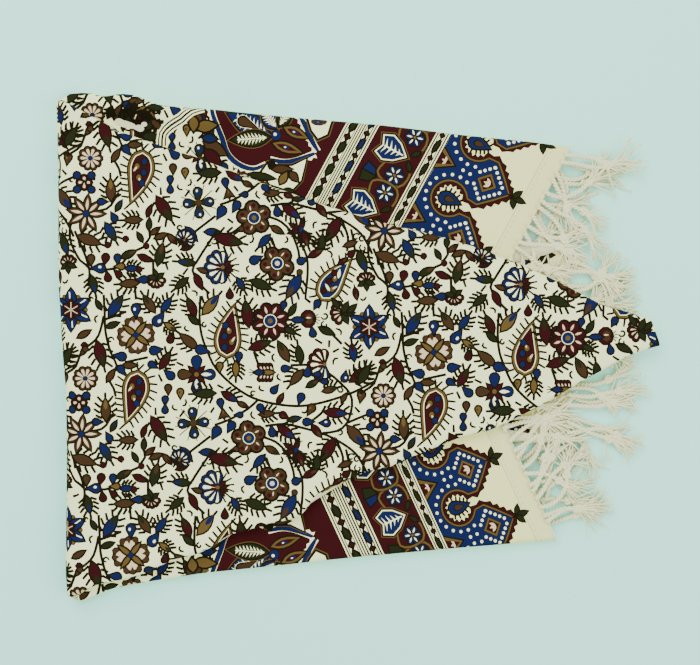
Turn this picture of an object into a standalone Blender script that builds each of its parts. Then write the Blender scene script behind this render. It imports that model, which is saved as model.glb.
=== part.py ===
"""A block-printed cotton cloth with a knotted fringe, folded and lying flat.

The cloth is a flattened sleeve with a box pleat in it. It lies with its hems to the right, turns over at
the left edge and comes back on top as a long triangular flap. Metres, +Z up, the surface at Z = 0.
"""
import math
from collections import namedtuple

import bmesh
import bpy

MM = 0.001

# The sheet and its layers
CLOTH_THICKNESS = 1.3 * MM
LAYER_PITCH = 2.2 * MM
LAYERS_IN_SLEEVE = 4
PLEAT_DEPTH = 70 * MM
PLEAT_GAP = 1.5 * MM
PLEAT_SHARE_OF_FLAP = 0.55

# The left fold turns about this height, halfway between the sleeve's top layer and the flap's lowest
FOLD_CENTRE_Z = (LAYERS_IN_SLEEVE - 0.5) * LAYER_PITCH + CLOTH_THICKNESS / 2

# The hems: a straight one on the pleat, and one on each wing that slants back towards the axis
AXIS_Y = 2 * MM
PLEAT_HEM_X = 150 * MM
UPPER_HEM_CORNER = (151 * MM, 141 * MM)
UPPER_HEM_SLANT = 0.54
LOWER_HEM_CORNER = (138 * MM, -128.5 * MM)
LOWER_HEM_SLANT = 0.46
BASE_HEM_SETBACK = 4 * MM
RETURN_HEM_SETBACK = 3 * MM
HEM_STEP = 13 * MM

# The flap's blunt tip
TIP_X = 208.5 * MM
TIP_Y = 10.5 * MM
TIP_SLANT = -0.36
TIP_SLANT_FROM = 0.7
TIP_DROOP = 3 * MM
TIP_DROOP_FROM = 160 * MM

# How finely the loft is divided
UNDER_STEPS = 10
FOLD_STEPS = 8
FLAP_STEPS = 17

# How many times a point's X and Y, which depend on each other, are worked out in turn
HEM_ROUNDS = 6
PLACE_ROUNDS = 4

# Outlines as a place along X and the edge's Y there, in millimetres
Edge = namedtuple("Edge", "x y")
UNDER_UPPER_EDGE = [Edge(*row) for row in (
    (-212, 176), (-199, 179), (-177, 176), (-156, 177.5), (-139, 170), (-96, 167),
    (-42, 162), (16, 157), (73, 150), (123, 145), (165, 139),
)]
UNDER_LOWER_EDGE = [Edge(*row) for row in (
    (-212, -177), (-194, -178), (-172, -168.5), (-145, -163.5), (-110, -158), (-51, -152),
    (-5, -147), (72, -140), (160, -133),
)]
FLAP_UPPER_EDGE = [Edge(*row) for row in (
    (-212, 175), (-200, 170), (-189, 163.5), (-160, 149), (-134, 140), (-106, 130.5), (-26, 100.5),
    (51, 79.5), (114, 58.5), (170, 30.5), (215, 18),
)]
FLAP_LOWER_EDGE = [Edge(*row) for row in (
    (-212, -177), (-199, -175), (-184, -165), (-163, -160.5), (-127, -146), (-99, -137), (-84, -128),
    (-58, -121), (-40, -115), (-24, -101), (7, -85), (40, -74.5), (73, -61), (110, -48.5), (154, -24),
    (189, -5), (206, 1), (215, 3),
)]

# The left fold's outer edge as a place along Y and its X there, in millimetres
Side = namedtuple("Side", "y x")
LEFT_EDGE = [Side(*row) for row in (
    (-180, -202), (-155, -203.5), (-78, -202.7), (-30, -203.4), (0, -206), (45, -208.6), (130, -209),
    (180, -210),
)]

# Soft ridges of the stack, each from one end to the other, with its half-width and height in millimetres
Ridge = namedtuple("Ridge", "x0 y0 x1 y1 width height")
RIDGES = [Ridge(*row) for row in (
    (-198, 172, -178, 168, 10, 8.0),
    (-160, 172, -98, 160, 11, 15.0),
    (-196, 160, -196, -165, 12, 1.6),
    (-150, 146, -20, 98, 13, 3.0),
    (-150, -156, -40, -118, 12, 2.2),
    (-20, 30, 120, 14, 26, 1.4),
    (-120, -60, 60, -40, 30, 1.2),
)]
STACK_HEIGHT = (LAYERS_IN_SLEEVE * 2 - 1) * LAYER_PITCH + CLOTH_THICKNESS

# The cross-section, walked once round: a straight run keeps its level, and a turn goes from one level
# to another about one place and bulges outwards (+1) or towards the axis side (-1)
Run = namedtuple("Run", "name start end level_from level_to bulge steps")
RUNS = [Run(*row) for row in (
    ("base", "axis", "step_upper", 0, 0, 0, 2),
    ("base", "step_upper", "beyond_upper", 0, 0, 0, 2),
    ("base", "beyond_upper", "upper", 0, 0, 0, 3),
    ("edge", "upper", "upper", 0, 3, 1, 4),
    ("wing", "upper", "inner_upper", 3, 3, 0, 6),
    ("inner", "inner_upper", "inner_upper", 3, 2, -1, 2),
    ("return", "inner_upper", "step_upper", 2, 2, 0, 2),
    ("return", "step_upper", "outer_upper", 2, 2, 0, 2),
    ("pleat", "outer_upper", "outer_upper", 2, 1, 1, 2),
    ("middle", "outer_upper", "outer_lower", 1, 1, 0, 6),
    ("pleat", "outer_lower", "outer_lower", 1, 2, -1, 2),
    ("return", "outer_lower", "step_lower", 2, 2, 0, 2),
    ("return", "step_lower", "inner_lower", 2, 2, 0, 2),
    ("inner", "inner_lower", "inner_lower", 2, 3, 1, 2),
    ("wing", "inner_lower", "lower", 3, 3, 0, 6),
    ("edge", "lower", "lower", 3, 0, -1, 4),
    ("base", "lower", "beyond_lower", 0, 0, 0, 3),
    ("base", "beyond_lower", "step_lower", 0, 0, 0, 2),
    ("base", "step_lower", "axis", 0, 0, 0, 2),
)]

# The fringe: each set hangs from one straight hem between two heights Y on it
Fringe = namedtuple("Fringe", "name hem y_from y_to strip_z strand_z rest_z strands lean bend")
FRINGES = [Fringe(*row) for row in (
    ("fringe_base_upper", "base_upper", 138, 80, 0.0, 0.0, 0.0, 8, 25, -6),
    ("fringe_base_centre", "base_centre", 58, -54, 0.0, 0.0, 0.0, 12, 2, -6),
    ("fringe_base_lower", "base_lower", -76, -126, 0.0, 0.0, 0.0, 6, -30, 6),
    ("fringe_centre", "centre", 66, -62, 2.4, 2.45, 2.45, 13, -2, 5),
    ("fringe_upper", "wing_upper", 137, 24, 6.7, 6.1, 2.5, 14, 8, 9),
    ("fringe_lower", "wing_lower", -22, -125, 6.7, 6.1, 2.5, 13, -6, -9),
)]
STRIP_WIDTH = 2.4 * MM
STRIP_HEIGHT = 1.1 * MM
STRIP_GAP = 0.3 * MM
STRAND_LENGTH = 50 * MM
STRAND_VARIES = 0.16
STRAND_VARIES_STEP = 2.1
SWAY_DEG = 3.0
SWAY_STEP = 0.9
STACKED_REST_Z = 4.9 * MM
CENTRE_HALF_WIDTH = 84 * MM
DROP_FROM_X = 154 * MM
DROP_LENGTH = 14 * MM

# A strand's sections: the share of its length, and its width and height in millimetres
Ring = namedtuple("Ring", "share width height")
STRAND_RINGS = [Ring(*row) for row in (
    (0.06, 2.3, 1.7), (0.25, 2.3, 1.9), (0.47, 2.3, 1.9), (0.52, 4.2, 2.1), (0.58, 3.0, 2.0),
    (0.78, 5.0, 1.9), (1.0, 4.4, 1.3),
)]

CLOTH_COLOUR = (0.62, 0.57, 0.45, 1)
FRINGE_COLOUR = (0.72, 0.69, 0.58, 1)


def smooth(edge0, edge1, at):
    """0 below edge0, 1 above edge1, and an even S between them."""
    share = min(max((at - edge0) / (edge1 - edge0), 0.0), 1.0)
    return share * share * (3 - 2 * share)


def read(table, at):
    """A table's second column at a place in its first, both kept in millimetres there."""
    at = at / MM
    for (a0, b0), (a1, b1) in zip(table, table[1:]):
        if at <= a1:
            break
    share = min(max((at - a0) / (a1 - a0), 0.0), 1.0)
    return (b0 + (b1 - b0) * share) * MM


def level_z(level):
    """The height of the middle of a layer in the lower sleeve."""
    return level * LAYER_PITCH + CLOTH_THICKNESS / 2



def turning_places(upper, lower):
    """Where the section's straight runs begin and end, between an upper and a lower edge."""
    centre = (upper + lower) / 2
    edge_radius = (LAYERS_IN_SLEEVE - 1) * LAYER_PITCH / 2
    small_radius = LAYER_PITCH / 2
    depth = min(PLEAT_DEPTH, PLEAT_SHARE_OF_FLAP * (upper - lower) / 2)
    inner = PLEAT_GAP + small_radius
    step = depth * (1 - HEM_STEP / PLEAT_DEPTH)
    return {
        "axis": centre,
        "step_upper": centre + step,
        "step_lower": centre - step,
        "beyond_upper": centre + depth,
        "beyond_lower": centre - depth,
        "upper": upper - edge_radius,
        "lower": lower + edge_radius,
        "inner_upper": centre + inner,
        "inner_lower": centre - inner,
        "outer_upper": centre + depth - small_radius,
        "outer_lower": centre - depth + small_radius,
    }


def section_point(run, share, upper, lower, side):
    """A point of the section: its Y and height. side is +1 on the printed face and -1 on the reverse."""
    places = turning_places(upper, lower)
    start, end = places[run.start], places[run.end]
    low, high = level_z(run.level_from), level_z(run.level_to)
    if run.bulge:
        radius = abs(high - low) / 2
        turn = math.pi * share
        y = start + run.bulge * radius * math.sin(turn)
        height = low + (high - low) * (1 - math.cos(turn)) / 2
        normal = (math.copysign(math.sin(turn), high - low), -run.bulge * math.cos(turn))
    else:
        y = start + (end - start) * share
        height = low
        normal = (0.0, -math.copysign(1.0, end - start))
    half = side * CLOTH_THICKNESS / 2
    return y + normal[0] * half, height + normal[1] * half


def wing_hem_x(y):
    """The X of the slanting hem of the wing that lies at y."""
    if y > AXIS_Y:
        return UPPER_HEM_CORNER[0] - UPPER_HEM_SLANT * (UPPER_HEM_CORNER[1] - y)
    return LOWER_HEM_CORNER[0] - LOWER_HEM_SLANT * (y - LOWER_HEM_CORNER[1])


def base_hem_x(y):
    """The bottom layer's hem: straight under the pleat, and just inside the wings' hems beyond it."""
    off_axis = abs(y - AXIS_Y)
    slant = smooth(PLEAT_DEPTH - HEM_STEP, PLEAT_DEPTH - LAYER_PITCH, off_axis)
    straight = PLEAT_HEM_X - BASE_HEM_SETBACK
    return straight + (wing_hem_x(y) - BASE_HEM_SETBACK - straight) * slant


def hem_x(run, y, height):
    """Where a point of the section ends at the hem."""
    if run.name == "base":
        return base_hem_x(y)
    if run.name == "edge":
        share = (height - level_z(0)) / (level_z(LAYERS_IN_SLEEVE - 1) - level_z(0))
        share = min(max(share, 0.0), 1.0)
        return base_hem_x(y) + (wing_hem_x(y) - base_hem_x(y)) * share
    if run.name in ("wing", "inner"):
        return wing_hem_x(y)
    if run.name == "return":
        step = smooth(PLEAT_DEPTH - HEM_STEP, PLEAT_DEPTH - LAYER_PITCH / 2, abs(y - AXIS_Y))
        inside = wing_hem_x(y) - RETURN_HEM_SETBACK * smooth(PLEAT_GAP, HEM_STEP, abs(y - AXIS_Y))
        return inside + (PLEAT_HEM_X - inside) * step
    return PLEAT_HEM_X


def lift_share(x, y):
    """How much the ridges raise the stack at a place, as a share of its height."""
    total = 0.0
    for ridge in RIDGES:
        ax, ay, bx, by = ridge.x0 * MM, ridge.y0 * MM, ridge.x1 * MM, ridge.y1 * MM
        along = ((x - ax) * (bx - ax) + (y - ay) * (by - ay)) / ((bx - ax) ** 2 + (by - ay) ** 2)
        along = min(max(along, 0.0), 1.0)
        away = math.hypot(x - ax - along * (bx - ax), y - ay - along * (by - ay))
        total += ridge.height * MM * math.exp(-((away / (ridge.width * MM)) ** 2))
    return total / STACK_HEIGHT


def raised(x, y, z):
    """A point moved up with the stack's ridges."""
    return x, y, z * (1 + lift_share(x, y))


def under_point(run, share, side, station):
    """A point of the lower sleeve. station runs from 0 at the hem to 1 at the left fold's line."""
    x = PLEAT_HEM_X
    for _ in range(HEM_ROUNDS):
        upper, lower = read(UNDER_UPPER_EDGE, x), read(UNDER_LOWER_EDGE, x)
        y, height = section_point(run, share, upper, lower, 0)
        x = hem_x(run, y, height)
    for _ in range(PLACE_ROUNDS):
        fold_x = read(LEFT_EDGE, y) + FOLD_CENTRE_Z
        at = x + (fold_x - x) * station
        upper, lower = read(UNDER_UPPER_EDGE, at), read(UNDER_LOWER_EDGE, at)
        y, height = section_point(run, share, upper, lower, side)
    return raised(at, y, height)


def fold_point(run, share, side, turn):
    """A point of the left fold. turn runs from 0 below to 1 above."""
    line = read(LEFT_EDGE, 0) + FOLD_CENTRE_Z
    upper_under, lower_under = read(UNDER_UPPER_EDGE, line), read(UNDER_LOWER_EDGE, line)
    upper_flap, lower_flap = read(FLAP_UPPER_EDGE, line), read(FLAP_LOWER_EDGE, line)
    upper = upper_under + (upper_flap - upper_under) * turn
    lower = lower_under + (lower_flap - lower_under) * turn
    y, height = section_point(run, share, upper, lower, side)
    radius = FOLD_CENTRE_Z - height
    x = read(LEFT_EDGE, y) + FOLD_CENTRE_Z - radius * math.sin(math.pi * turn)
    return raised(x, y, FOLD_CENTRE_Z - radius * math.cos(math.pi * turn))


def flap_point(run, share, side, station):
    """A point of the flap. station runs from 0 at the left fold's line to 1 at the tip."""
    y = AXIS_Y
    for _ in range(PLACE_ROUNDS):
        fold_x = read(LEFT_EDGE, y) + FOLD_CENTRE_Z
        end_x = TIP_X + TIP_SLANT * (y - TIP_Y) * smooth(TIP_SLANT_FROM, 1.0, station)
        x = fold_x + (end_x - fold_x) * station
        y, height = section_point(run, share, read(FLAP_UPPER_EDGE, x), read(FLAP_LOWER_EDGE, x), side)
    droop = TIP_DROOP * smooth(TIP_DROOP_FROM, TIP_X, x)
    x, y, z = raised(x, y, 2 * FOLD_CENTRE_Z - height)
    return x, y, z - droop


def material(name, colour, roughness):
    """A matt material of one colour."""
    made = bpy.data.materials.new(name)
    made.use_nodes = True
    shader = made.node_tree.nodes["Principled BSDF"]
    shader.inputs["Base Color"].default_value = colour
    shader.inputs["Roughness"].default_value = roughness
    shader.inputs["Metallic"].default_value = 0
    return made


def add_object(name, points, faces, finish, collection):
    """One closed body from its points and faces, with its faces turned outwards."""
    mesh = bpy.data.meshes.new(name)
    body = bmesh.new()
    corners = [body.verts.new(point) for point in points]
    for face in faces:
        body.faces.new([corners[i] for i in face])
    bmesh.ops.recalc_face_normals(body, faces=body.faces)
    body.to_mesh(mesh)
    body.free()
    mesh.materials.append(finish)
    made = bpy.data.objects.new(name, mesh)
    collection.objects.link(made)
    return made


def make_cloth(collection, finish):
    """The sleeve, its left fold and its flap, lofted as a printed face and a reverse and joined at both ends."""
    columns = [(run, step / run.steps) for run in RUNS for step in range(run.steps)]
    rows = [(under_point, step / UNDER_STEPS) for step in range(UNDER_STEPS + 1)]
    rows += [(fold_point, step / FOLD_STEPS) for step in range(1, FOLD_STEPS)]
    rows += [(flap_point, step / FLAP_STEPS) for step in range(FLAP_STEPS + 1)]
    points = [
        place(run, share, side, station)
        for side in (1, -1)
        for place, station in rows
        for run, share in columns
    ]
    wide, long = len(columns), len(rows)

    def index(side, row, column):
        return (side * long + row) * wide + column % wide

    faces = []
    for column in range(wide):
        for side in range(2):
            for row in range(long - 1):
                faces.append((index(side, row, column), index(side, row, column + 1),
                              index(side, row + 1, column + 1), index(side, row + 1, column)))
        for row in (0, long - 1):
            faces.append((index(0, row, column), index(0, row, column + 1),
                          index(1, row, column + 1), index(1, row, column)))
    return add_object("cloth", points, faces, finish, collection)


def hem_line(hem, y):
    """The X of a named hem at y."""
    if hem.startswith("wing"):
        return wing_hem_x(y)
    if hem == "centre":
        return PLEAT_HEM_X
    return base_hem_x(y)


def strand_rings(fringe, number, start, end, outwards):
    """The sections of one strand after its root between start and end on the strip's outer side."""
    sway = math.radians(SWAY_DEG) * math.sin(SWAY_STEP * number + fringe.lean)
    heading = math.atan2(outwards[1], outwards[0]) + math.radians(fringe.lean) + sway
    shorter = (1 + math.sin(STRAND_VARIES_STEP * number + fringe.bend)) / 2
    length = STRAND_LENGTH * (1 - STRAND_VARIES * shorter)
    x, y = (start[0] + end[0]) / 2, (start[1] + end[1]) / 2
    reach_y = y + length * math.sin(heading)
    stacked = abs(reach_y - AXIS_Y) < CENTRE_HALF_WIDTH
    rest = fringe.rest_z * MM
    if fringe.strand_z * MM > STACKED_REST_Z and stacked:
        rest = STACKED_REST_Z
    rings, done = [], 0.0
    for ring in STRAND_RINGS:
        angle = heading + math.radians(fringe.bend) * ring.share
        step = (ring.share - done) * length
        done = ring.share
        x, y = x + step * math.cos(angle), y + step * math.sin(angle)
        fallen = smooth(DROP_FROM_X, DROP_FROM_X + DROP_LENGTH, x)
        z = fringe.strand_z * MM + (rest - fringe.strand_z * MM) * fallen
        side = ring.width * MM / 2
        left = (x - side * math.sin(angle), y + side * math.cos(angle))
        right = (x + side * math.sin(angle), y - side * math.cos(angle))
        top = z + ring.height * MM
        rings.append(((*left, z), (*right, z), (*right, top), (*left, top)))
    return rings


def make_fringe(fringe, collection, finish):
    """A backing strip along the hem with its strands drawn out of the outer side."""
    y_from, y_to = fringe.y_from * MM, fringe.y_to * MM
    ends = [(hem_line(fringe.hem, y), y) for y in (y_from, y_to)]
    length = math.dist(*ends)
    along = ((ends[1][0] - ends[0][0]) / length, (ends[1][1] - ends[0][1]) / length)
    outwards = (-along[1], along[0])
    spacing = length / fringe.strands
    root = STRAND_RINGS[0].width * MM
    breaks = [0.0]
    for number in range(fringe.strands):
        middle = (number + 0.5) * spacing
        breaks += [middle - root / 2, middle + root / 2]
    breaks.append(length)
    z0 = fringe.strip_z * MM
    z1 = z0 + STRIP_HEIGHT
    points, faces = [], []
    for at in breaks:
        for out, z in ((STRIP_GAP, z0), (STRIP_GAP + STRIP_WIDTH, z0),
                       (STRIP_GAP + STRIP_WIDTH, z1), (STRIP_GAP, z1)):
            x = ends[0][0] + along[0] * at + outwards[0] * out
            y = ends[0][1] + along[1] * at + outwards[1] * out
            points.append((x, y, z))
    for part in range(len(breaks) - 1):
        here, there = part * 4, part * 4 + 4
        for side in (0, 2, 3):
            faces.append((here + side, here + (side + 1) % 4, there + (side + 1) % 4, there + side))
        if part % 2 == 0:
            faces.append((here + 1, here + 2, there + 2, there + 1))
            continue
        last = (here + 1, there + 1, there + 2, here + 2)
        for ring in strand_rings(fringe, part // 2, points[here + 1], points[there + 1], outwards):
            first = len(points)
            points += ring
            for side in range(4):
                faces.append((last[side], last[(side + 1) % 4],
                              first + (side + 1) % 4, first + side))
            last = tuple(range(first, first + 4))
        faces.append(last)
    faces.append((0, 1, 2, 3))
    faces.append(tuple(range(len(breaks) * 4 - 4, len(breaks) * 4)))
    return add_object(fringe.name, points, faces, finish, collection)


def centre_on_box(objects):
    """Moves all the objects so that the middle of their joint box is over the origin."""
    corners = [vertex.co for made in objects for vertex in made.data.vertices]
    shift = [-(min(c[k] for c in corners) + max(c[k] for c in corners)) / 2 for k in (0, 1)]
    for made in objects:
        for vertex in made.data.vertices:
            vertex.co.x += shift[0]
            vertex.co.y += shift[1]


def main():
    for old in list(bpy.data.objects):
        bpy.data.objects.remove(old, do_unlink=True)
    collection = bpy.data.collections.new("folded_printed_cloth")
    bpy.context.scene.collection.children.link(collection)
    cotton = material("printed_cotton", CLOTH_COLOUR, 0.9)
    yarn = material("fringe_yarn", FRINGE_COLOUR, 0.95)
    made = [make_cloth(collection, cotton)]
    made += [make_fringe(fringe, collection, yarn) for fringe in FRINGES]
    centre_on_box(made)


main()
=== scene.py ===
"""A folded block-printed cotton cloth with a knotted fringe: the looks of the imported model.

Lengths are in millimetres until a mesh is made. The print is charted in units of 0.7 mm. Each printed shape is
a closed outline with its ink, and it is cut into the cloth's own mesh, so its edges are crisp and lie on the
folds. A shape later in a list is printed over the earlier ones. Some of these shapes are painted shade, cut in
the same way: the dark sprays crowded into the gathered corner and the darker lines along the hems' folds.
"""

import math
import random
from collections import namedtuple
from functools import partial

import bmesh
import bpy
import numpy as np
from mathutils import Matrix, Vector
from mathutils.geometry import delaunay_2d_cdt


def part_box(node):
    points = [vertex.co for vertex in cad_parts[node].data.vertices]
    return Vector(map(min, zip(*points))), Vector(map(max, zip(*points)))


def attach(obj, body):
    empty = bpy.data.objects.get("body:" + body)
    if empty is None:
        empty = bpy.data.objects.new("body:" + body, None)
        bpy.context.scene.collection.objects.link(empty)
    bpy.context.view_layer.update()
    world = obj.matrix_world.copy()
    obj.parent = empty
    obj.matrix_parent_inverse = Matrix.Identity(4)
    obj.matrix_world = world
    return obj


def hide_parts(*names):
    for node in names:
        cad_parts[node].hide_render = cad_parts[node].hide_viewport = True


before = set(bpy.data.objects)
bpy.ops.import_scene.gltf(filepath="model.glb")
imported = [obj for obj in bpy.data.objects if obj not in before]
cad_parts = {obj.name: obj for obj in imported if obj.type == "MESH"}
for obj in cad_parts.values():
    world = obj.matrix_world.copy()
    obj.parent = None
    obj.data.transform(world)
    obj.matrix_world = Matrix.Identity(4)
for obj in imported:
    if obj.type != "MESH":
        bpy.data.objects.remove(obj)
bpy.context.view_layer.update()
MM = 0.001

# The sheet and its layers, as the solid has them, with the cloth at its own thickness
THICKNESS = 0.7
PITCH = 2.2
LAYERS = 4
EDGE_RADIUS = (LAYERS - 1) * PITCH / 2
TURN_RADIUS = PITCH / 2
PLEAT_DEPTH = 70
PLEAT_GAP = 1.5
PLEAT_SHARE = 0.55
STACK = 16.7
FOLD_Z = (LAYERS - 0.5) * PITCH + THICKNESS / 2
FOLD_HALF = math.pi * FOLD_Z / 2

# Hems
AXIS_Y = 2
PLEAT_HEM_X = 150
UPPER_HEM = (151, 141, 0.54)
LOWER_HEM = (138, -128.5, -0.46)
BASE_SETBACK = 4
RETURN_SETBACK = 3
HEM_STEP = 13
TIP = (208.5, 10.5, -0.36)
TIP_DROOP = 3
TIP_DROOP_FROM = 160

# Outlines: a place along X and the edge's Y there
UNDER_UPPER = (
    (-212, 176), (-199, 179), (-186, 179.5), (-177, 176), (-168, 178.5), (-156, 178), (-147, 174), (-139, 170),
    (-96, 167), (-42, 162), (16, 157), (73, 150), (123, 145), (165, 139),
)
UNDER_LOWER = (
    (-212, -177), (-194, -178), (-172, -168.5), (-145, -163.5), (-110, -158), (-51, -152),
    (-5, -147), (72, -140), (160, -133),
)
FLAP_UPPER = (
    (-212, 175), (-200, 170), (-189, 163.5), (-160, 149), (-134, 140), (-106, 130.5), (-66, 115), (-26, 100.5),
    (12, 89), (51, 79.5), (84, 70), (114, 58.5), (143, 45), (170, 30.5), (215, 18),
)
FLAP_LOWER = (
    (-212, -177), (-199, -175), (-184, -165), (-163, -160.5), (-145, -155), (-127, -146), (-112, -143),
    (-99, -137), (-90, -129), (-75, -126), (-58, -121), (-44, -118), (-36, -115), (-31, -104), (-24, -100),
    (7, -85), (24, -82), (40, -74.5), (73, -61), (92, -57), (110, -48.5), (131, -38), (154, -24), (189, -5),
    (206, 1), (215, 3),
)

# The left fold: a place along Y and the edge's X there
LEFT_EDGE = (
    (-180, -202), (-155, -203.5), (-78, -202.7), (-30, -203.4), (0, -206), (45, -208.6), (130, -209),
    (180, -210),
)
OUTLINE_BLUR = 3.5

# Soft ridges (and troughs, with a height below 0) from one end to the other, with their half-width
Ridge = namedtuple("Ridge", "x0 y0 x1 y1 width height")
RIDGES = [Ridge(*row) for row in (
    (-198, 172, -178, 168, 10, 8.0),
    (-160, 172, -98, 160, 11, 15.0),
    (-166, 160, -152, 156, 6, -10.0),
    (-196, 160, -196, -165, 12, 1.6),
    (-150, 146, -20, 98, 13, 3.0),
    (-150, -156, -40, -118, 12, 2.2),
    (-20, 30, 120, 14, 26, 1.4),
    (-120, -60, 60, -40, 30, 1.2),
    (-180, 60, -60, 92, 9, 1.0),
    (-90, 20, 30, 62, 7, -0.9),
    (-150, -20, -20, 8, 8, 0.8),
    (-60, -60, 90, -18, 8, 0.9),
    (-186, -90, -90, -64, 8, -0.8),
    (20, -20, 150, 8, 6, -0.8),
    (60, 40, 150, 30, 7, 0.8),
)]
Wave = namedtuple("Wave", "along_x along_y phase height")
WAVES = [Wave(*row) for row in (
    (0.071, 0.023, 0.4, 0.22), (-0.031, 0.083, 1.9, 0.20), (0.052, -0.061, 3.1, 0.16), (0.14, 0.11, 0.9, 0.07),
)]


def smooth(edge0, edge1, at):
    share = np.clip((at - edge0) / (edge1 - edge0), 0, 1)
    return share * share * (3 - 2 * share)


def soft_curve(table):
    """A table's second column over its first, with its corners rounded by OUTLINE_BLUR."""
    at = np.arange(table[0][0], table[-1][0] + 1.0)
    raw = np.interp(at, [row[0] for row in table], [row[1] for row in table])
    reach = int(3 * OUTLINE_BLUR)
    kernel = np.exp(-0.5 * (np.arange(-reach, reach + 1) / OUTLINE_BLUR) ** 2)
    slope0, slope1 = raw[1] - raw[0], raw[-1] - raw[-2]
    before = raw[0] + slope0 * np.arange(-reach, 0)
    after = raw[-1] + slope1 * np.arange(1, reach + 1)
    return at, np.convolve(np.concatenate([before, raw, after]), kernel / kernel.sum(), "valid")


OUTLINE = {
    "under_upper": soft_curve(UNDER_UPPER), "under_lower": soft_curve(UNDER_LOWER),
    "flap_upper": soft_curve(FLAP_UPPER), "flap_lower": soft_curve(FLAP_LOWER),
    "left": soft_curve(LEFT_EDGE),
}


def outline(name, at):
    return np.interp(at, *OUTLINE[name])


def fold_x(y):
    """The X of the left fold's centre line at y."""
    return outline("left", y) + (LAYERS - 0.5) * PITCH + 0.65


def edges_at(x, turn):
    """The section's upper and lower edge at x. turn is 0 in the lower sleeve and 1 in the flap."""
    upper = outline("under_upper", x) * (1 - turn) + outline("flap_upper", x) * turn
    lower = outline("under_lower", x) * (1 - turn) + outline("flap_lower", x) * turn
    return upper, lower


# Half of the section, walked from the axis underneath round to the axis inside
RUNS = ("base", "edge", "wing", "inner", "return", "pleat", "middle")


def run_lengths(upper, lower):
    """Each run's length and the distances from the axis at which the runs turn."""
    half = (upper - lower) / 2
    depth = np.minimum(PLEAT_DEPTH, PLEAT_SHARE * half)
    q_edge = half - EDGE_RADIUS
    q_in = PLEAT_GAP + TURN_RADIUS + 0 * half
    q_out = depth - TURN_RADIUS
    lengths = [q_edge, math.pi * EDGE_RADIUS + 0 * half, q_edge - q_in, math.pi * TURN_RADIUS + 0 * half,
               q_out - q_in, math.pi * TURN_RADIUS + 0 * half, q_out]
    return np.array(lengths), q_edge, q_in, q_out


def level_z(level):
    return level * PITCH + THICKNESS / 2


def section(along, upper, lower):
    """The distance from the axis, height, normal, run and share of points along the half section."""
    lengths, q_edge, q_in, q_out = run_lengths(upper, lower)
    ends = np.cumsum(lengths, axis=0)
    starts = ends - lengths
    run = np.clip((along[None] > ends).sum(axis=0), 0, len(RUNS) - 1)
    pick = np.arange(along.size)
    t = along - starts[run, pick]
    share = t / lengths[run, pick]
    q, h = np.zeros_like(along), np.zeros_like(along)
    nq, nh = np.zeros_like(along), np.zeros_like(along)
    flats = {0: (0 * q_edge, 1, 0, -1), 2: (q_edge, -1, 3, 1), 4: (q_in, 1, 2, -1), 6: (q_out, -1, 1, 1)}
    turns = {1: (q_edge, 0, 3, 1), 3: (q_in, 3, 2, -1), 5: (q_out, 2, 1, 1)}
    for number, (start, way, level, normal) in flats.items():
        m = run == number
        q[m], h[m], nh[m] = start[m] + way * t[m], level_z(level), normal
    for number, (start, low, high, bulge) in turns.items():
        m = run == number
        angle = math.pi * share[m]
        radius = abs(high - low) * PITCH / 2
        q[m] = start[m] + bulge * radius * np.sin(angle)
        h[m] = level_z(low) + (high - low) * PITCH * (1 - np.cos(angle)) / 2
        nq[m] = math.copysign(1, high - low) * np.sin(angle)
        nh[m] = -bulge * np.cos(angle)
    return q, h, nq, nh, run, share


# A point's plan place, its height and normal before the left fold, its run and share, the turn and the half
Laid = namedtuple("Laid", "x y height out_y out_z run share turn up")


def lift_share(x, y):
    total = np.zeros_like(x)
    for ridge in RIDGES:
        bx, by = ridge.x1 - ridge.x0, ridge.y1 - ridge.y0
        along = np.clip(((x - ridge.x0) * bx + (y - ridge.y0) * by) / (bx * bx + by * by), 0, 1)
        away = np.hypot(x - ridge.x0 - along * bx, y - ridge.y0 - along * by)
        total += ridge.height * np.exp(-((away / ridge.width) ** 2))
    for wave in WAVES:
        total += wave.height * np.sin(wave.along_x * x + wave.along_y * y + wave.phase)
    return total / STACK


def turn_and_reach(u):
    """How far through the left fold (0 to 1) points at u lie, and how far beyond its centre line."""
    return np.clip((u + FOLD_HALF) / (2 * FOLD_HALF), 0, 1), np.maximum(np.abs(u) - FOLD_HALF, 0)


def laid(u, v):
    """Where points of the unrolled sheet lie in the fold."""
    up = np.where(v >= 0, 1.0, -1.0)
    turn, reach = turn_and_reach(u)
    y = np.clip(v, -170, 170)
    for _ in range(5):
        x = fold_x(y) + reach
        upper, lower = edges_at(x, turn)
        q, h, nq, nh, run, share = section(np.abs(v), upper, lower)
        y = (upper + lower) / 2 + up * q
    return Laid(x, y, h, nq, nh, run, share, turn, up)


def cloth_points(u, v, side):
    """Points of the sheet. u runs from the hem (low) over the left fold (0) to the flap's tip, and v round
    the section from the bottom layer's axis. side is 1 on the printed face and below 0 towards the reverse."""
    at = laid(u, v)
    y = at.y + at.up * at.out_y * side * THICKNESS / 2
    radius = FOLD_Z - (at.height + at.out_z * side * THICKNESS / 2)
    x = at.x - radius * np.sin(math.pi * at.turn)
    z = FOLD_Z - radius * np.cos(math.pi * at.turn)
    z = z * (1 + lift_share(x, y))
    z = z - TIP_DROOP * smooth(TIP_DROOP_FROM, TIP[0], x) * smooth(0.9, 1.0, at.turn)
    return np.stack([x, y, z], axis=1)


def wing_hem_x(y):
    corner = UPPER_HEM if y > AXIS_Y else LOWER_HEM
    return corner[0] - corner[2] * (corner[1] - y)


def base_hem_x(y):
    slant = smooth(PLEAT_DEPTH - HEM_STEP, PLEAT_DEPTH - PITCH, abs(y - AXIS_Y))
    straight = PLEAT_HEM_X - BASE_SETBACK
    return straight + (wing_hem_x(y) - BASE_SETBACK - straight) * slant


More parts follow.
